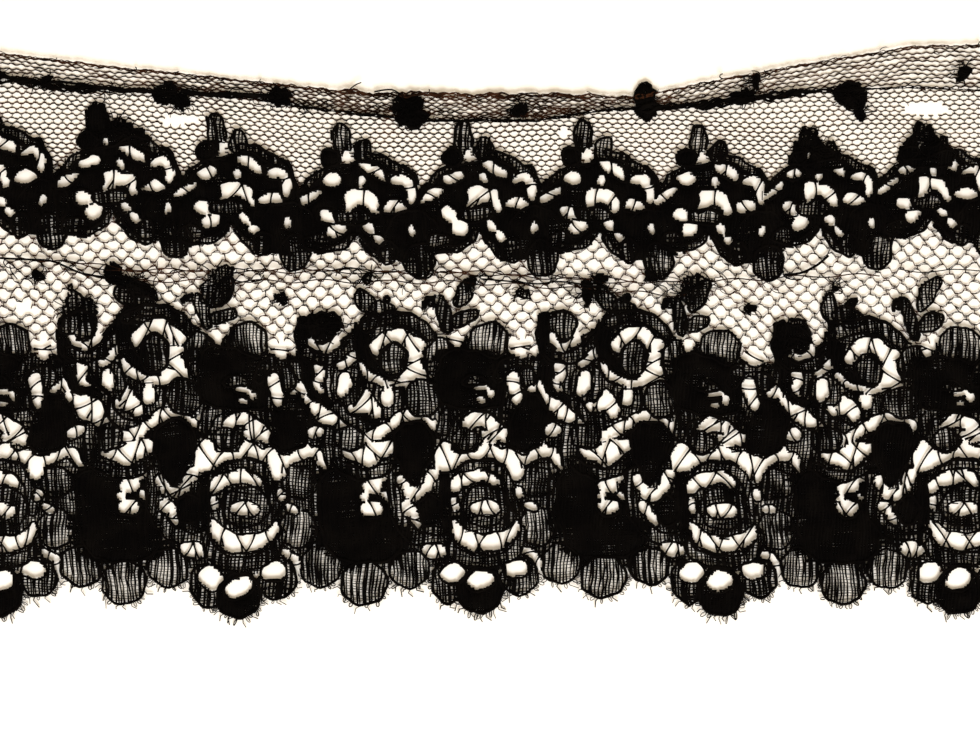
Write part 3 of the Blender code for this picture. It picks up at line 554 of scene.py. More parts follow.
def placed(outline, place):
    """The outline turned, scaled and moved to one repeat's place."""
    turn = math.radians(place.turn)
    return [
        Vector((
            place.x + (p.x * math.cos(turn) - p.y * math.sin(turn)) * place.size,
            place.y + (p.x * math.sin(turn) + p.y * math.cos(turn)) * place.tall,
        ))
        for p in outline
    ]


def ripple(p, a, b, c, d):
    """A shift that goes round and round from place to place."""
    return Vector((math.sin(a * p.y + b * p.x), math.cos(c * p.x + d * p.y)))


def ragged(outline):
    """The outline with a torn, uneven edge."""
    slow, quick = (7, 2, 6, 3), (11, 6, 13, -5)
    return [p + ripple(p, *slow) * 0.28 + ripple(p, *quick).yx * 0.22 for p in outline]


def slipped(outline):
    """The outline where the cloth has slipped to, with the unevenness of handled cloth."""
    moved = []
    for point in outline:
        slip = Vector((0.0, 0.0))
        for x, y, reach_x, reach_y, dx, dy in SLIPS:
            near = math.exp(-((point.x - x) / reach_x) ** 2 - ((point.y - y) / reach_y) ** 2)
            slip += Vector((dx, dy)) * near
        wobble = ripple(point, 1.9, 0.8, 1.7, -0.9)
        bumps = ripple(point, 5.1, 2.0, 4.7, -2.3)
        moved.append(point + slip + wobble * 0.15 + bumps * 0.05)
    return moved


def inward_steps(outline):
    """Each point of a closed outline, the way round it there, and the way into the shape."""
    following = [*outline[1:], outline[0]]
    area = sum(a.x * b.y - b.x * a.y for a, b in zip(outline, following)) / 2
    turn = 1 if area > 0 else -1
    for before, here, after in zip([outline[-1], *outline], outline, following):
        yield here, after - here, (after - before).orthogonal().normalized() * turn


def widened(outline, by):
    """The outline moved outwards."""
    return [here - inward * by for here, _, inward in inward_steps(outline)]


def on_strip(outline):
    """Whether any of the outline lies between the strip's two cut ends."""
    return any(abs(p.x) < HALF_LENGTH for p in outline)


def all_shapes():
    """Every shape of the trim in the order it is worked: its tone, its outline and its group.

    The group says which piece has the shape's cord, and "net" and "ground" have none.
    """
    notches = [(place.x + x, place.y + y) for place in ROSE_PLACES for x, y in EDGE_NOTCHES]
    kept = [(x, y) for x, y in notches if abs(x) < HALF_LENGTH + 1]
    ground = [Vector(p) for p in [*kept, *reversed(smooth_line(HEADING_EDGE))]]
    found = [(NET, ground, "ground")]
    for places, shapes, group in (
        (SPRAY_PLACES, SPRAY_SHAPES, "upper"),
        (ROSE_PLACES, (ROSE_GROUND,), "lower"),
        (ROSE_PLACES, ROSE_SHAPES, "lower"),
    ):
        for place in places:
            for shape in shapes:
                outline = slipped(placed(outline_of(shape), place))
                if shape.tone not in CLOTH:
                    outline = widened(outline, GAP_SPREAD[group])
                found.append((shape.tone, outline, group))
    found += [(shape.tone, outline_of(shape), "net") for shape in TEARS]
    for shape in (*SPOTS, *RAGGED, *KNOTS):
        found.append((shape.tone, ragged(outline_of(shape)), "heading"))
    found += [(shape.tone, outline_of(shape), "net") for shape in HOLES]
    return [shape for shape in found if on_strip(shape[1])]


def draw_chart(shapes):
    """Fills the outlines into a grid of tones, row by row."""
    chart = np.full(CHART_SHAPE, OUT, np.int8)
    rows, columns = CHART_SHAPE
    for tone, outline, _ in shapes:
        points = np.array([p[:] for p in outline])
        x0, y0 = points.T
        x1, y1 = np.roll(points, -1, axis=0).T
        first = max(0, math.ceil((y0.min() - CHART_Y) / CHART_STEP))
        last = min(rows - 1, math.floor((y0.max() - CHART_Y) / CHART_STEP))
        for row in range(first, last + 1):
            y = CHART_Y + row * CHART_STEP
            cut = (y0 <= y) != (y1 <= y)
            cuts = np.sort(x0[cut] + (y - y0[cut]) * (x1 - x0)[cut] / (y1 - y0)[cut])
            places = np.clip(np.round((cuts - CHART_X) / CHART_STEP), 0, columns - 1).astype(int)
            for a, b in zip(places[::2], places[1::2]):
                chart[row, a:b] = tone
    beyond = round((-HALF_LENGTH - CHART_X) / CHART_STEP)
    chart[:, :beyond] = OUT
    chart[:, -beyond:] = OUT
    return chart


SHAPES = all_shapes()
CHART = draw_chart(SHAPES)


def tone_at(x, y):
    """The chart's tone at this place."""
    row = round((y - CHART_Y) / CHART_STEP)
    column = round((x - CHART_X) / CHART_STEP)
    if 0 <= row < CHART_SHAPE[0] and 0 <= column < CHART_SHAPE[1]:
        return CHART[row, column]
    return OUT


def lay_height(x, y):
    """How far the cloth lies off the table at this place, in millimetres."""
    height = CLOTH_HEIGHT + 0.08 * math.sin(0.17 * x + 0.3 * y)
    height += 0.08 * math.sin(0.43 * x - 0.2 * y + 1.0)
    gather = height_on(GATHER_LINE, x)
    if y > gather - GATHER_REACH:
        height += GATHER_LIFT * min(1.0, (y - gather + GATHER_REACH) / GATHER_REACH)
    away = abs(y - height_on(CREASE_LINE, x))
    tight = height_on(CREASE_TIGHTNESS, x)
    return height + CREASE_LIFT * tight * max(0.0, 1 - away / CREASE_REACH)


def laid(x, y, over=0.0, height=None):
    """A chart point's place on the table, in metres, with the small drift of handled cloth.

    over: how far above the height given, or above the cloth's own height where none is given.
    """
    drift_x = 0.22 * math.sin(0.13 * y + 0.05 * x) + 0.12 * math.sin(0.31 * x + 0.9)
    drift_y = 0.25 * math.sin(0.09 * x + 0.4) + 0.12 * math.sin(0.37 * y + 0.11 * x)
    fade = max(0.0, min(1.0, (HALF_LENGTH - abs(x)) / END_FADE))
    level = lay_height(x, y) if height is None else height
    return ((x + drift_x * fade) * MM, (y + drift_y + SHIFT_Y) * MM, (level + over) * MM)


def runs_of(line, tones):
    """The stretches of a row of tones that have one of these, as pairs of indexes."""
    inside = np.isin(line, tones).astype(np.int8)
    edges = np.flatnonzero(np.diff(np.concatenate(([0], inside, [0]))))
    return list(zip(edges[::2], edges[1::2]))


def clip(points, tones):
    """The pieces of a line whose steps start or end on one of these tones."""
    inside = [tone_at(x, y) in tones for x, y, *_ in points]
    pieces, piece = [], []
    for i, point in enumerate(points):
        if any(inside[max(0, i - 1):i + 2]):
            piece.append(point)
        else:
            if len(piece) > 1:
                pieces.append(piece)
            piece = []
    return pieces + ([piece] if len(piece) > 1 else [])


def linear(hex_colour):
    """An sRGB hex colour as the linear RGBA that a shader takes."""
    values = [int(hex_colour[i:i + 2], 16) / 255 for i in (1, 3, 5)]
    values = [v / 12.92 if v <= 0.04045 else ((v + 0.055) / 1.055) ** 2.4 for v in values]
    return (*values, 1.0)


def add_node(material, kind, links=(), **settings):
    """Adds a node, sets its sockets or its own settings, and links it by (socket, source)."""
    node = material.node_tree.nodes.new(kind)
    for name, value in settings.items():
        socket = node.inputs.get(name.replace("_", " "))
        if socket is None:
            setattr(node, name, value)
        else:
            socket.default_value = value
    for name, source in links:
        material.node_tree.links.new(source, node.inputs[name])
    return node


def thread_material(name, colour, worn_colour, ply, roughness):
    """Twisted cotton thread: matt and fuzzy, with its twist as faint slanting ridges.

    colour and worn_colour are the fresh and the faded dye. ply is the length of one twist in
    millimetres.
    """
    material = bpy.data.materials.new(name)
    material.use_nodes = True
    material.node_tree.nodes.clear()
    place = add_node(material, "ShaderNodeTexCoord").outputs["Object"]
    # The dye is uneven over a few millimetres, and browner where it has faded
    dye = add_node(
        material, "ShaderNodeTexNoise", [("Vector", place)],
        Scale=1 / (4 * MM), Detail=3.0, Roughness=0.6,
    )
    mixed = add_node(material, "ShaderNodeValToRGB", [("Fac", dye.outputs["Fac"])])
    fresh, faded = mixed.color_ramp.elements
    fresh.position, fresh.color = 0.42, colour
    faded.position, faded.color = 0.72, worn_colour
    # The plies slant across the thread, and loose fibres stand between them. A wave has a ridge
    # every 2 pi / 20 of its scale, so these ridges are about six plies apart: each single ply
    # is too fine to show.
    turned = add_node(
        material, "ShaderNodeMapping", [("Vector", place)], Rotation=(0.0, 0.0, math.radians(35)),
    )
    plies = add_node(
        material, "ShaderNodeTexWave", [("Vector", turned.outputs["Vector"])],
        Scale=1 / (ply * MM) / 20, Distortion=2.0, Detail=1.0,
    )
    fibres = add_node(
        material, "ShaderNodeTexNoise", [("Vector", place)], Scale=1 / (0.12 * MM), Detail=2.0,
    )
    both = add_node(
        material, "ShaderNodeMath", [(0, plies.outputs["Fac"]), (1, fibres.outputs["Fac"])],
        operation="ADD",
    )
    bump = add_node(
        material, "ShaderNodeBump", [("Height", both.outputs[0])],
        Strength=0.6, Distance=0.03 * MM,
    )
    fuzz = add_node(
        material, "ShaderNodeMapRange", [("Value", fibres.outputs["Fac"])],
        To_Min=roughness - 0.08, To_Max=roughness + 0.08,
    )
    shader = add_node(
        material, "ShaderNodeBsdfPrincipled",
        [
            ("Base Color", mixed.outputs["Color"]), ("Normal", bump.outputs["Normal"]),
            ("Roughness", fuzz.outputs["Result"]),
        ],
        Specular_IOR_Level=0.015, Sheen_Weight=0.005, Sheen_Roughness=0.5,
    )
    add_node(material, "ShaderNodeOutputMaterial", [("Surface", shader.outputs["BSDF"])])
    return material


def cotton(context):
    """Twisted cotton, dyed black: nearly no gloss, and a faint sheen where light grazes it."""
    colour = tuple(context.scene.lace_colours.thread)
    return bpy.data.materials.get("black_cotton_thread") or thread_material(
        "black_cotton_thread", colour, linear("#0a0807"), ply=0.5, roughness=0.8,
    )


def net_cotton(context):
    """The net's own finer cotton, which has faded to a brown black."""
    colour = tuple(context.scene.lace_colours.net)
    return bpy.data.materials.get("faded_net_thread") or thread_material(
        "faded_net_thread", colour, linear("#43281a"), ply=0.3, roughness=0.84,
    )


def make_threads(name, threads, material, roundness=0):
    """Makes one piece out of many threads.

    threads: the radius of each in millimetres, or one for each point, and its points in metres.
    roundness: 0 gives a thread four sides, and 1 gives it six.
    """
    curve = bpy.data.curves.new(name, "CURVE")
    curve.dimensions = "3D"
    curve.bevel_depth = MM
    curve.bevel_resolution = roundness
    curve.use_fill_caps = True
    for radius, points in threads:
        radii = radius if isinstance(radius, list) else [radius] * len(points)
        spline = curve.splines.new("POLY")
        spline.points.add(len(points) - 1)
        spline.points.foreach_set("co", [value for p in points for value in (*p, 1.0)])
        spline.points.foreach_set("radius", radii)
    draft = bpy.data.objects.new(name + "_draft", curve)
    bpy.context.scene.collection.objects.link(draft)
    ready = draft.evaluated_get(bpy.context.evaluated_depsgraph_get())
    mesh = bpy.data.meshes.new_from_object(ready)
    bpy.data.objects.remove(draft)
    bpy.data.curves.remove(curve)
    if not mesh.polygons:
        raise RuntimeError(f"{name} has no threads")
    # The caps lie loose on the threads' ends, so they are joined on
    joined = bmesh.new()
    joined.from_mesh(mesh)
    bmesh.ops.remove_doubles(joined, verts=joined.verts, dist=1e-7)
    joined.to_mesh(mesh)
    joined.free()
    mesh.name = name
    mesh.materials.clear()
    mesh.materials.append(material)
    mesh.shade_smooth()
    piece = bpy.data.objects.new(name, mesh)
    bpy.context.scene.collection.objects.link(piece)
    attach(piece, "root")


def net_ties(net, row, tie, place_row, keep, rng):
    """The short strands that hold a row to the one above it, where the two come close."""
    low, high = place_row(row, tie), place_row(row + 1, tie)
    if abs(tie) >= HALF_LENGTH - 0.5 or high - low <= 0.2:
        return []
    if tone_at(tie, (low + high) / 2) != NET or not keep(tie, low):
        return []
    lean = rng.uniform(-0.12, 0.12) * net.period
    # A tie starts and ends within the waves of the rows
    inset = net.swing * net.spacing * 0.8
    return [
        (net.radius * net.tie, [
            laid(tie - lean + strand * net.apart, low + inset, 0.0, net.height),
            laid(tie + lean - strand * net.apart, high - inset, 0.0, net.height),
        ])
        for strand in range(net.strands)
    ]


def net_rows(rows, net, place_row, keep, rng):
    """Wavy threads, each the mirror of the next, and the ties between them."""
    threads = []
    for row in rows:
        side = 1 if row % 2 else -1
        points = []
        for step in range(math.ceil(2 * HALF_LENGTH / net.period) + 1):
            start = -HALF_LENGTH + step * net.period
            for part, rise in NET_BENDS:
                x = start + (part + rng.uniform(-0.04, 0.04)) * net.period
                stray = rng.uniform(-1, 1) * net.jitter
                y = place_row(row, x) + (side * rise * net.swing + stray) * net.spacing
                if abs(x) <= HALF_LENGTH:
                    points.append((x, y, NET_THICK if rise else NET_THIN))
            tie = start + (0.0 if side > 0 else 0.5) * net.period
            tie += rng.uniform(-0.03, 0.03) * net.period
            threads += net_ties(net, row, tie, place_row, keep, rng)
        for piece in clip(points, (NET,)):
            if not keep(*piece[len(piece) // 2][:2]):
                continue
            for strand in range(net.strands):
                apart = (strand - (net.strands - 1) / 2) * net.apart * 2
                thick = net.radius * rng.uniform(0.85, 1.15)
                # The net is a little worn towards the strip's right end
                radii = [thick * share * (1.08 - 0.12 * x / HALF_LENGTH) for x, _, share in piece]
                line = []
                for x, y, _ in piece:
                    aside = apart * math.sin(1.3 * x + row)
                    line.append(laid(x, y + aside, rng.uniform(-0.03, 0.05), net.height))
                threads.append((radii, line))
    return threads


def fine_net(rng):
    """The fine net between the sprays and the gathers."""
    def place_row(row, x):
        wave = 0.15 * math.sin(0.23 * x + 0.4 * row)
        return height_on(SPRAY_LINE, x) + row * FINE_NET.spacing + wave

    def keep(x, y):
        return height_on(SPRAY_LINE, x) - 3.2 < y < height_on(GATHER_LINE, x) + 1.0
    return net_rows(range(-4, 24), FINE_NET, place_row, keep, rng)


def coarse_net(rng):
    """The coarse net between the bands, drawn together along the crease."""
    def place_row(row, x):
        # It is pulled down at the strip's right end
        y = row * COARSE_NET.spacing - 0.09 * max(0.0, x - 35)
        away = y - height_on(CREASE_LINE, x)
        tight = height_on(CREASE_TIGHTNESS, x)
        y -= away * 0.62 * tight * math.exp(-(away / 3.4) ** 2)
        waves = 0.35 * math.sin(0.21 * x + 0.15 * row) + 0.2 * math.sin(0.6 * x + 0.9 * row)
        return y + waves * math.exp(-(away / 9) ** 2)

    def keep(x, y):
        return y < height_on(SPRAY_LINE, x) + 2.0
    return net_rows(range(-31, 22), COARSE_NET, place_row, keep, rng)


def bars(rng):
    """The bars that cross the gaps of the pattern from edge to edge, a few millimetres apart."""
    threads = []
    # In steps of the chart: how far to each side of its foot a bar is looked for, and how short
    # and how long it may be
    reach, shortest, longest = 40, 4, 55
    for tone, outline, group in SHAPES:
        if tone != GAP:
            continue
        points = np.array([p[:] for p in outline])
        middle = points.mean(axis=0)
        _, _, axes = np.linalg.svd(points - middle, full_matrices=False)
        along = (points - middle) @ axes[0]
        length = along.max() - along.min()
        count = int(length / BAR_SPACING[group] + rng.uniform(-0.3, 0.3))
        slant = rng.choice((-1, 1))
        for bar in range(count):
            slant = -slant
            share = bar + 1 + rng.uniform(-0.15, 0.15)
            foot = middle + axes[0] * (along.min() + length * share / (count + 1))
            way = axes[1] + axes[0] * slant * rng.uniform(0.2, 0.8)
            way = way / np.hypot(*way)
            line = [foot + way * step * CHART_STEP for step in range(-reach, reach + 1)]
            runs = runs_of(np.array([tone_at(x, y) for x, y in line]), (GAP,))
            runs = [run for run in runs if shortest <= run[1] - run[0] <= longest]
            if not runs:
                continue
            a, b = min(runs, key=lambda run: abs((run[0] + run[1]) / 2 - reach))
            start, end = line[max(0, a - 2)], line[min(2 * reach, b + 1)]
            sag = np.array((-way[1], way[0])) * rng.uniform(-0.25, 0.25)
            mid = (start + end) / 2 + sag
            near, far = (start + mid) / 2 + sag * 0.3, (end + mid) / 2 + sag * 0.3
            path = (start, near, mid, far, end)
            threads.append((BAR_RADII, [laid(x, y, BAR_LIFT) for x, y in path]))
            if b - a > FORK_LENGTH and rng.random() < FORK_SHARE:
                # A long bar forks near one of its ends
                fork = far + axes[0] * slant * rng.uniform(-1.0, -0.6) + way * 0.9
                threads.append((FORK_RADII, [laid(*mid, BAR_LIFT), laid(*fork, BAR_LIFT)]))
    return threads


def density(x, y):
    """How much thicker the cloth's threads lie here, in clouds a few millimetres wide."""
    first = 0.2 * math.sin(0.83 * x + 1.3 * math.sin(0.47 * y))
    return 1.0 + first + 0.16 * math.sin(1.1 * y + 1.7 * math.sin(0.39 * x))


def weave(rng, tones, across, pitch, radius, over, step, spread=0.0):
    """Threads through the cloth of these tones, all bowed alike.

    across: whether they run along X, or else along Y. over: how far above the cloth's own
    height. step: from one bend to the next. spread: how far their ends may run on into the
    cloth beside it, which blurs its border.
    """
    threads = []
    grid = CHART if across else CHART.T
    start, other = (CHART_Y, CHART_X) if across else (CHART_X, CHART_Y)
    for line in range(math.floor(grid.shape[0] * CHART_STEP / pitch)):
        place = start + line * pitch
        tones_here = grid[round((place - start) / CHART_STEP)]
        for a, b in runs_of(tones_here, tones):
            first = max(0, a - int(rng.uniform(0, spread) / CHART_STEP))
            last = b + int(rng.uniform(0, spread) / CHART_STEP)
            if np.isin(tones_here[first:last], CLOTH).all():
                a, b = first, last
            length = (b - a) * CHART_STEP
            if length < 0.5:
                continue
            count = max(1, round(length / step))
            sway = rng.uniform(-0.3, 0.3) * pitch
            phase = rng.uniform(0, FULL_TURN)
            points, radii = [], []
            for i in range(count + 1):
                along = other + a * CHART_STEP + length * i / count
                bow = 0.22 * math.sin(0.6 * along + 0.35 * place)
                stray = 0.14 * math.sin(1.7 * along + phase) + rng.uniform(-0.12, 0.12)
                aside = place + sway + bow + stray * pitch
                x, y = (along, aside) if across else (aside, along)
                points.append(laid(x, y, over + 0.05 * (1 if (i + line) % 2 else -1)))
                radii.append(radius * density(x, y) * rng.uniform(0.75, 1.2))
            threads.append((radii, points))
    return threads


def outline_cords(group, rng):
    """The thick cord along the edge of each shape, left out where a later shape covers it."""
    threads = []
    probe = 0.35
    for tone, outline, kind in SHAPES:
        if kind != group:
            continue
        worked = tone in CLOTH
        radius = (CLOTH_CORD if worked else GAP_CORD) * rng.uniform(0.85, 1.15)
        # The cord lies just inside a piece of cloth, and just outside a gap
        inset = 0.1 if worked else -0.2
        kept = []
        for here, _, inward in inward_steps(outline):
            inner, outer = tone_at(*here + inward * probe), tone_at(*here - inward * probe)
            shows = inner == tone and (worked or outer in CLOTH) and abs(here.x) < HALF_LENGTH
            kept.append((here + inward * inset, shows))
        piece = []
        for here, shows in [*kept, kept[0], (None, False)]:
            if shows:
                piece.append(laid(*here, CORD_LIFT + rng.uniform(-0.04, 0.04)))
                continue
            if len(piece) > 2:
                threads.append((radius, piece))
            piece = []
    return threads


def edge_loops(rng):
    """The fine loops that stand along the scalloped edge, and the frayed ends among them."""
    threads = []
    for tone, outline, kind in SHAPES:
        if kind != "lower" or tone not in CLOTH:
            continue
        # Dark cloth has its loops closer together, and longer ones
        spacing, reaches = (0.45, (0.4, 1.1)) if tone == SOLID else (0.6, (0.25, 0.8))
        run = 0.0
        for here, onward, inward in inward_steps(outline):
            run += onward.length
            outward = -inward
            at_edge = here.y <= EDGE_TOP and abs(here.x) <= HALF_LENGTH - 0.5
            if run < spacing or not at_edge or tone_at(*here + outward * 0.6) != OUT:
                continue
            run = 0.0
            sideways = Vector((outward.y, -outward.x))
            lean = sideways * rng.uniform(-0.9, 0.9)
            reach = rng.uniform(*reaches)
            side = sideways * rng.uniform(0.12, 0.28)
            root = here + outward * 0.1
            tip = root + (outward + lean * 0.6) * reach
            if rng.random() < LOOP_SHARE:
                waist = root.lerp(tip, 0.5)
                line = [root - side * 0.5, waist - side, tip - side * 0.7, tip + outward * 0.12,
                        tip + side * 0.7, waist + side, root + side * 0.5]
            else:
                frayed = tip + (outward + lean) * rng.uniform(0.1, 0.9) - side * 0.5
                line = [root, root.lerp(tip, 0.6) + side * 1.5, frayed]
            radius = rng.uniform(0.06, 0.105)
            threads.append((radius, [laid(p.x, p.y, rng.uniform(-0.12, 0.0)) for p in line]))
    return threads


def hem_rows(rng):
    """The net of the hem, drawn together into wavy rows from its edge down to the gathers."""
    threads = []
    for row in range(HEM_ROWS):
        phase = rng.uniform(0, FULL_TURN)
        points = []
        x = -HALF_LENGTH
        while x < HALF_LENGTH:
            swing = 0.13 * math.cos(x * 4.0 + (FULL_TURN / 2 if row % 2 else 0.0))
            swing += 0.12 * math.sin(x * 0.6 + phase)
            y = height_on(HEADING_EDGE, x) - (row + 0.3) * height_on(HEM_SPACING, x)
            points.append((x, y + swing + rng.uniform(-0.06, 0.06)))
            x += rng.uniform(0.36, 0.46)
        piece = []
        for x, y in [*points, (HALF_LENGTH, LOWEST)]:
            top = height_on(HEADING_EDGE, x) - 0.3
            if y > height_on(GATHER_LINE, x) - 0.3 and tone_at(x, min(y, top)) in (NET, SOLID):
                piece.append(laid(x, y, rng.uniform(0.0, 0.15), FINE_NET.height))
                continue
            if len(piece) > 2:
                threads.append(([rng.uniform(0.08, 0.155) for _ in piece], piece))
            piece = []
    return threads


def twisted_threads(line, thickness, strands, wave, rng):
    """Loose strands twisted along a line, as thick together as the table says for each X."""
    threads = []
    for _ in range(strands):
        phase = rng.uniform(0, FULL_TURN)
        x = -HALF_LENGTH
        points, radii = [], []
        while x < HALF_LENGTH:
            thick = height_on(thickness, x)
            thick *= 1 + 0.4 * math.sin(0.9 * x) * math.sin(0.37 * x + 1.0)
            turn = 1.1 * x + phase
            aside = thick * (0.8 * math.sin(turn) + 0.5 * math.sin(0.31 * x + 2 * phase))
            aside += wave * math.sin(3.4 * x + phase) + rng.uniform(-0.07, 0.07)
            over = 0.15 + thick * (0.35 + 0.3 * math.cos(turn))
            points.append(laid(x, height_on(line, x) + aside, over))
            radii.append(thick * 0.45 * rng.uniform(0.7, 1.15) + 0.03)
            x += 0.5
        threads.append((radii, points))
    return threads


def stray_threads(rng):
    """Curled loose ends at the knots, along the crease and along the heading."""
    threads = []
    # x, y, how many ends start there, and how long they are
    roots = [(k.x, k.y, 16, 2.6) for k in KNOTS] + [(s.x, s.y, 12, 1.9) for s in SPOTS]
    roots += [(*np.mean(patch.points, axis=0), 24, 3.8) for patch in RAGGED]
    roots += [(x, height_on(HEADING_EDGE, x), 1, 1.6) for x in range(-80, 84, 7)]
    roots += [(x, height_on(GATHER_LINE, x), 5, 2.2) for x in range(-82, -30, 3)]
    roots += [(x, height_on(CREASE_LINE, x), 2, 3.5) for x in range(-80, 60, 6)]
    bends = 6
    for x, y, count, reach in roots:
        for _ in range(count):
            angle = rng.uniform(0, FULL_TURN)
            curl = rng.uniform(-1.0, 1.0)
            px, py = x + rng.uniform(-1, 1), y + rng.uniform(-0.7, 0.7)
            points = []
            for _ in range(bends):
                inside = max(-HALF_LENGTH, min(HALF_LENGTH, px))
                points.append(laid(inside, py, rng.uniform(0.2, 0.6)))
                px += math.cos(angle) * reach / (bends - 1)
                py += math.sin(angle) * reach / (bends - 1) * 0.7
                angle += curl * 0.7
            threads.append((rng.uniform(0.05, 0.1), points))
    for points, radius in LOOSE:
        line = [p for p in smooth_line(points) if abs(p.x) <= HALF_LENGTH]
        threads.append((radius, [laid(x, y, LOOSE_LIFT) for x, y in line]))
    return threads


def crease_threads(rng):
    """Long threads pulled straight along the crease."""
    threads = []
    for _ in range(3):
        x = rng.uniform(-HALF_LENGTH, -60)
        end = rng.uniform(20, 70)
        phase = rng.uniform(0, FULL_TURN)
        offset = rng.uniform(-1.3, 1.3)
        points = []
        while x < end:
            wave = 0.3 * math.sin(0.6 * x + phase)
            points.append((x, height_on(CREASE_LINE, x) + offset + wave))
            x += 1.1
        for piece in clip(points, (NET,)):
            line = [laid(x, y, CREASE_THREAD_LIFT) for x, y in piece]
            threads.append((CREASE_THREAD, line))
    return threads


def in_mm(pitch):
    """A pitch in millimetres, in the single precision that it is stored in."""
    return float(np.float32(pitch / MM))


# What all the pitches share, and what all the colours share
PITCH = {"min": 0.2 * MM, "max": 1.5 * MM, "precision": 5, "unit": "LENGTH"}
COLOUR = {"subtype": "COLOR", "size": 4, "min": 0, "max": 1}


class LaceSizes(bpy.types.PropertyGroup):
    """How far apart the threads of the clothwork lie."""
    warp_pitch: bpy.props.FloatProperty(
        name="Warp pitch",
        description="From one upright thread of the clothwork to the next",
        default=0.52 * MM, **PITCH,
    )
    weft_pitch: bpy.props.FloatProperty(
        name="Weft pitch",
        description="From one level thread of the clothwork to the next",
        default=0.5 * MM, **PITCH,
    )
    fill_pitch: bpy.props.FloatProperty(
        name="Fill pitch",
        description="From one level thread of the dense cloth to the next",
        default=0.3 * MM, **PITCH,
    )


class LaceColours(bpy.types.PropertyGroup):
    """Colours of the lace and of its stage."""
    thread: bpy.props.FloatVectorProperty(
        name="Thread", description="The cloth and cord threads' dye",
        default=linear("#040303"), **COLOUR,
    )
    net: bpy.props.FloatVectorProperty(
        name="Net", description="The thin net threads' dye",
        default=linear("#160c07"), **COLOUR,
    )
    floor: bpy.props.FloatVectorProperty(
        name="Floor", description="The surface under the lace",
        default=linear("#f5f4f3"), **COLOUR,
    )


class LACE_OT_cloth(bpy.types.Operator):
    """Weaves the clothwork of both bands"""
    bl_idname = "lace.cloth"
    bl_label = "Clothwork"

    def execute(self, context):
        sizes = context.scene.lace_sizes
        upright, level, fill = map(in_mm, (sizes.warp_pitch, sizes.weft_pitch, sizes.fill_pitch))
        rng = draws("cloth")
        threads = []
        # The tones, whether the threads run along X, from one to the next, half the width, how
        # far over the cloth's own height, and from one bend to the next
        for tones, across, pitch, radius, over, step in (
            ((CLOSE, SOLID), False, upright, 0.192, 0.12, 1.6),
            ((OPEN,), False, upright, 0.165, 0.12, 1.6),
            ((CLOSE,), True, level, 0.112, 0.0, 1.9),
            ((OPEN,), True, level * 0.92, 0.06, 0.0, 1.9),
        ):
            threads += weave(rng, tones, across, pitch, radius, over, step)
        parts = {"spray_cloth": [], "rose_cloth": []}
        for thread in threads:
            middle = thread[1][len(thread[1]) // 2]
            above = middle[1] / MM - SHIFT_Y > BORDER
            parts["spray_cloth" if above else "rose_cloth"].append(thread)
        for name, woven in parts.items():
            make_threads(name, woven, cotton(context))
        rng = draws("dense_cloth")
        dense = weave(rng, (SOLID,), True, fill, 0.21, -0.03, 2.2, spread=2.4)
        dense += weave(rng, (SOLID,), False, fill * 1.3, 0.13, 0.02, 2.2, spread=2.4)
        make_threads("dense_cloth", dense, cotton(context))
        return {"FINISHED"}


class LACE_OT_cords(bpy.types.Operator):
    """Lays the cord along the edge of every shape"""
    bl_idname = "lace.cords"
    bl_label = "Outline cords"

    def execute(self, context):
        rng = draws("cords")
        for name, group in (("spray_cords", "upper"), ("rose_cords", "lower")):
            make_threads(name, outline_cords(group, rng), cotton(context), roundness=1)
        return {"FINISHED"}


class LACE_OT_net(bpy.types.Operator):
    """Makes the fine and the coarse net, and the bars across the gaps"""
    bl_idname = "lace.net"
    bl_label = "Net"

    def execute(self, context):
        brown = net_cotton(context)
        make_threads("fine_net", fine_net(draws("fine_net")), brown)
        rng = draws("coarse_net")
        make_threads("coarse_net", coarse_net(rng) + crease_threads(rng), brown)
        make_threads("bars", bars(draws("bars")), cotton(context))
        return {"FINISHED"}


class LACE_OT_heading(bpy.types.Operator):
    """Makes the gathered hem with its thick threads, its knots and its loose ends"""
    bl_idname = "lace.heading"
    bl_label = "Heading"

    def execute(self, context):
        rng = draws("heading")
        edge = twisted_threads(HEADING_EDGE, EDGE_THICKNESS, strands=4, wave=0.1, rng=rng)
        make_threads("hem", hem_rows(rng) + edge, net_cotton(context))
        loose = twisted_threads(GATHER_LINE, GATHER_THICKNESS, strands=5, wave=0.07, rng=rng)
        loose += stray_threads(rng) + outline_cords("heading", rng)
        make_threads("heading_threads", loose, cotton(context))
        return {"FINISHED"}


class LACE_OT_picots(bpy.types.Operator):
    """Sets the fine loops along the scalloped edge"""
    bl_idname = "lace.picots"
    bl_label = "Picot loops"

    def execute(self, context):
        make_threads("picots", edge_loops(draws("picots")), cotton(context))
        return {"FINISHED"}


class LACE_OT_declare(bpy.types.Operator):
    """Hides the part's own solid, which the threads take the place of"""
    bl_idname = "lace.declare"
    bl_label = "Cloth facts"

    def execute(self, context):
        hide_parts("lace_trim")
        return {"FINISHED"}


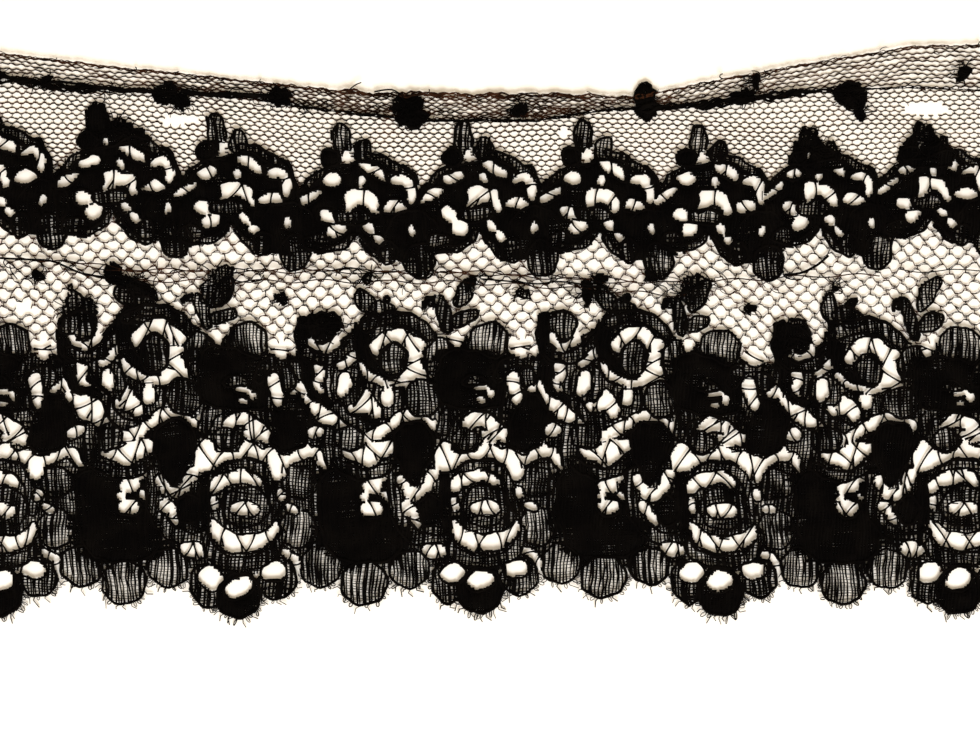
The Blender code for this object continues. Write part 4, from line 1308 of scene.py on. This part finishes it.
class LACE_OT_stage(bpy.types.Operator):
    """Makes the white surface, the lights and the camera over it"""
    bl_idname = "lace.stage"
    bl_label = "Stage"

    def execute(self, context):
        scene = context.scene
        self.make_floor(scene)
        self.make_light(scene)
        # The photo's frame is 163 mm wide at the lace, and its middle lies 6 mm below the strip's
        camera = bpy.data.cameras.new("camera")
        camera.lens = 85
        camera.sensor_width = 36
        camera.clip_start = 0.01
        eye = bpy.data.objects.new("camera", camera)
        eye.location = (0, -6.08 * MM, 386.6 * MM)
        scene.collection.objects.link(eye)
        scene.camera = eye
        scene.view_settings.view_transform = "Standard"
        return {"FINISHED"}

    def make_floor(self, scene):
        """A sheet of matt white paper, three metres wide."""
        shape = bmesh.new()
        bmesh.ops.create_grid(shape, x_segments=1, y_segments=1, size=1.5)
        mesh = bpy.data.meshes.new("floor")
        shape.to_mesh(mesh)
        shape.free()
        floor = bpy.data.objects.new("floor", mesh)
        scene.collection.objects.link(floor)
        paper = bpy.data.materials.new("white_paper")
        paper.use_nodes = True
        shader = paper.node_tree.nodes["Principled BSDF"]
        shader.inputs["Base Color"].default_value = tuple(scene.lace_colours.floor)
        shader.inputs["Roughness"].default_value = 0.9
        shader.inputs["Specular IOR Level"].default_value = 0.1
        mesh.materials.append(paper)

    def make_light(self, scene):
        """A warm room, and two soft lamps with neutral light."""
        scene.world = bpy.data.worlds.new("room")
        scene.world.use_nodes = True
        room = scene.world.node_tree.nodes["Background"]
        room.inputs["Color"].default_value = linear("#ffeac9")
        room.inputs["Strength"].default_value = 0.82
        # Each lamp's place and width in metres, and its power in watts
        for name, place, size, power in (
            ("key", (0.10, -0.75, 0.85), 0.5, 12.5),
            ("side", (-0.65, -0.1, 0.75), 0.5, 1.0),
        ):
            light = bpy.data.lights.new(name, "AREA")
            light.size = size
            light.energy = power
            light.color = linear("#fdfcfa")[:3]
            lamp = bpy.data.objects.new(name, light)
            lamp.location = place
            lamp.rotation_euler = (-Vector(place)).to_track_quat("-Z", "Y").to_euler()
            scene.collection.objects.link(lamp)


class LACE_PT_panel(bpy.types.Panel):
    """Lists the lace's sizes, colours and pieces"""
    bl_idname = "LACE_PT_panel"
    bl_label = "Lace trim"
    bl_space_type = "VIEW_3D"
    bl_region_type = "UI"
    bl_category = "Lace"

    def draw(self, context):
        for group in (context.scene.lace_sizes, context.scene.lace_colours):
            for name in group.__annotations__:
                self.layout.prop(group, name)
        for step in STEPS:
            self.layout.operator(step.bl_idname)


STEPS = (
    LACE_OT_net, LACE_OT_cloth, LACE_OT_cords, LACE_OT_heading, LACE_OT_picots, LACE_OT_stage,
    LACE_OT_declare,
)
CLASSES = (LaceSizes, LaceColours, *STEPS, LACE_PT_panel)


def register():
    """Makes the sizes, the colours, the operators and the panel known."""
    for kind in CLASSES:
        bpy.utils.register_class(kind)
    bpy.types.Scene.lace_sizes = bpy.props.PointerProperty(type=LaceSizes)
    bpy.types.Scene.lace_colours = bpy.props.PointerProperty(type=LaceColours)


def unregister():
    """Takes them out again, the last one first."""
    del bpy.types.Scene.lace_colours
    del bpy.types.Scene.lace_sizes
    for kind in reversed(CLASSES):
        bpy.utils.unregister_class(kind)


def main():
    """Runs every step in order."""
    register()
    for step in STEPS:
        group, name = step.bl_idname.split(".")
        getattr(getattr(bpy.ops, group), name)()


if __name__ == "__main__":
    main()
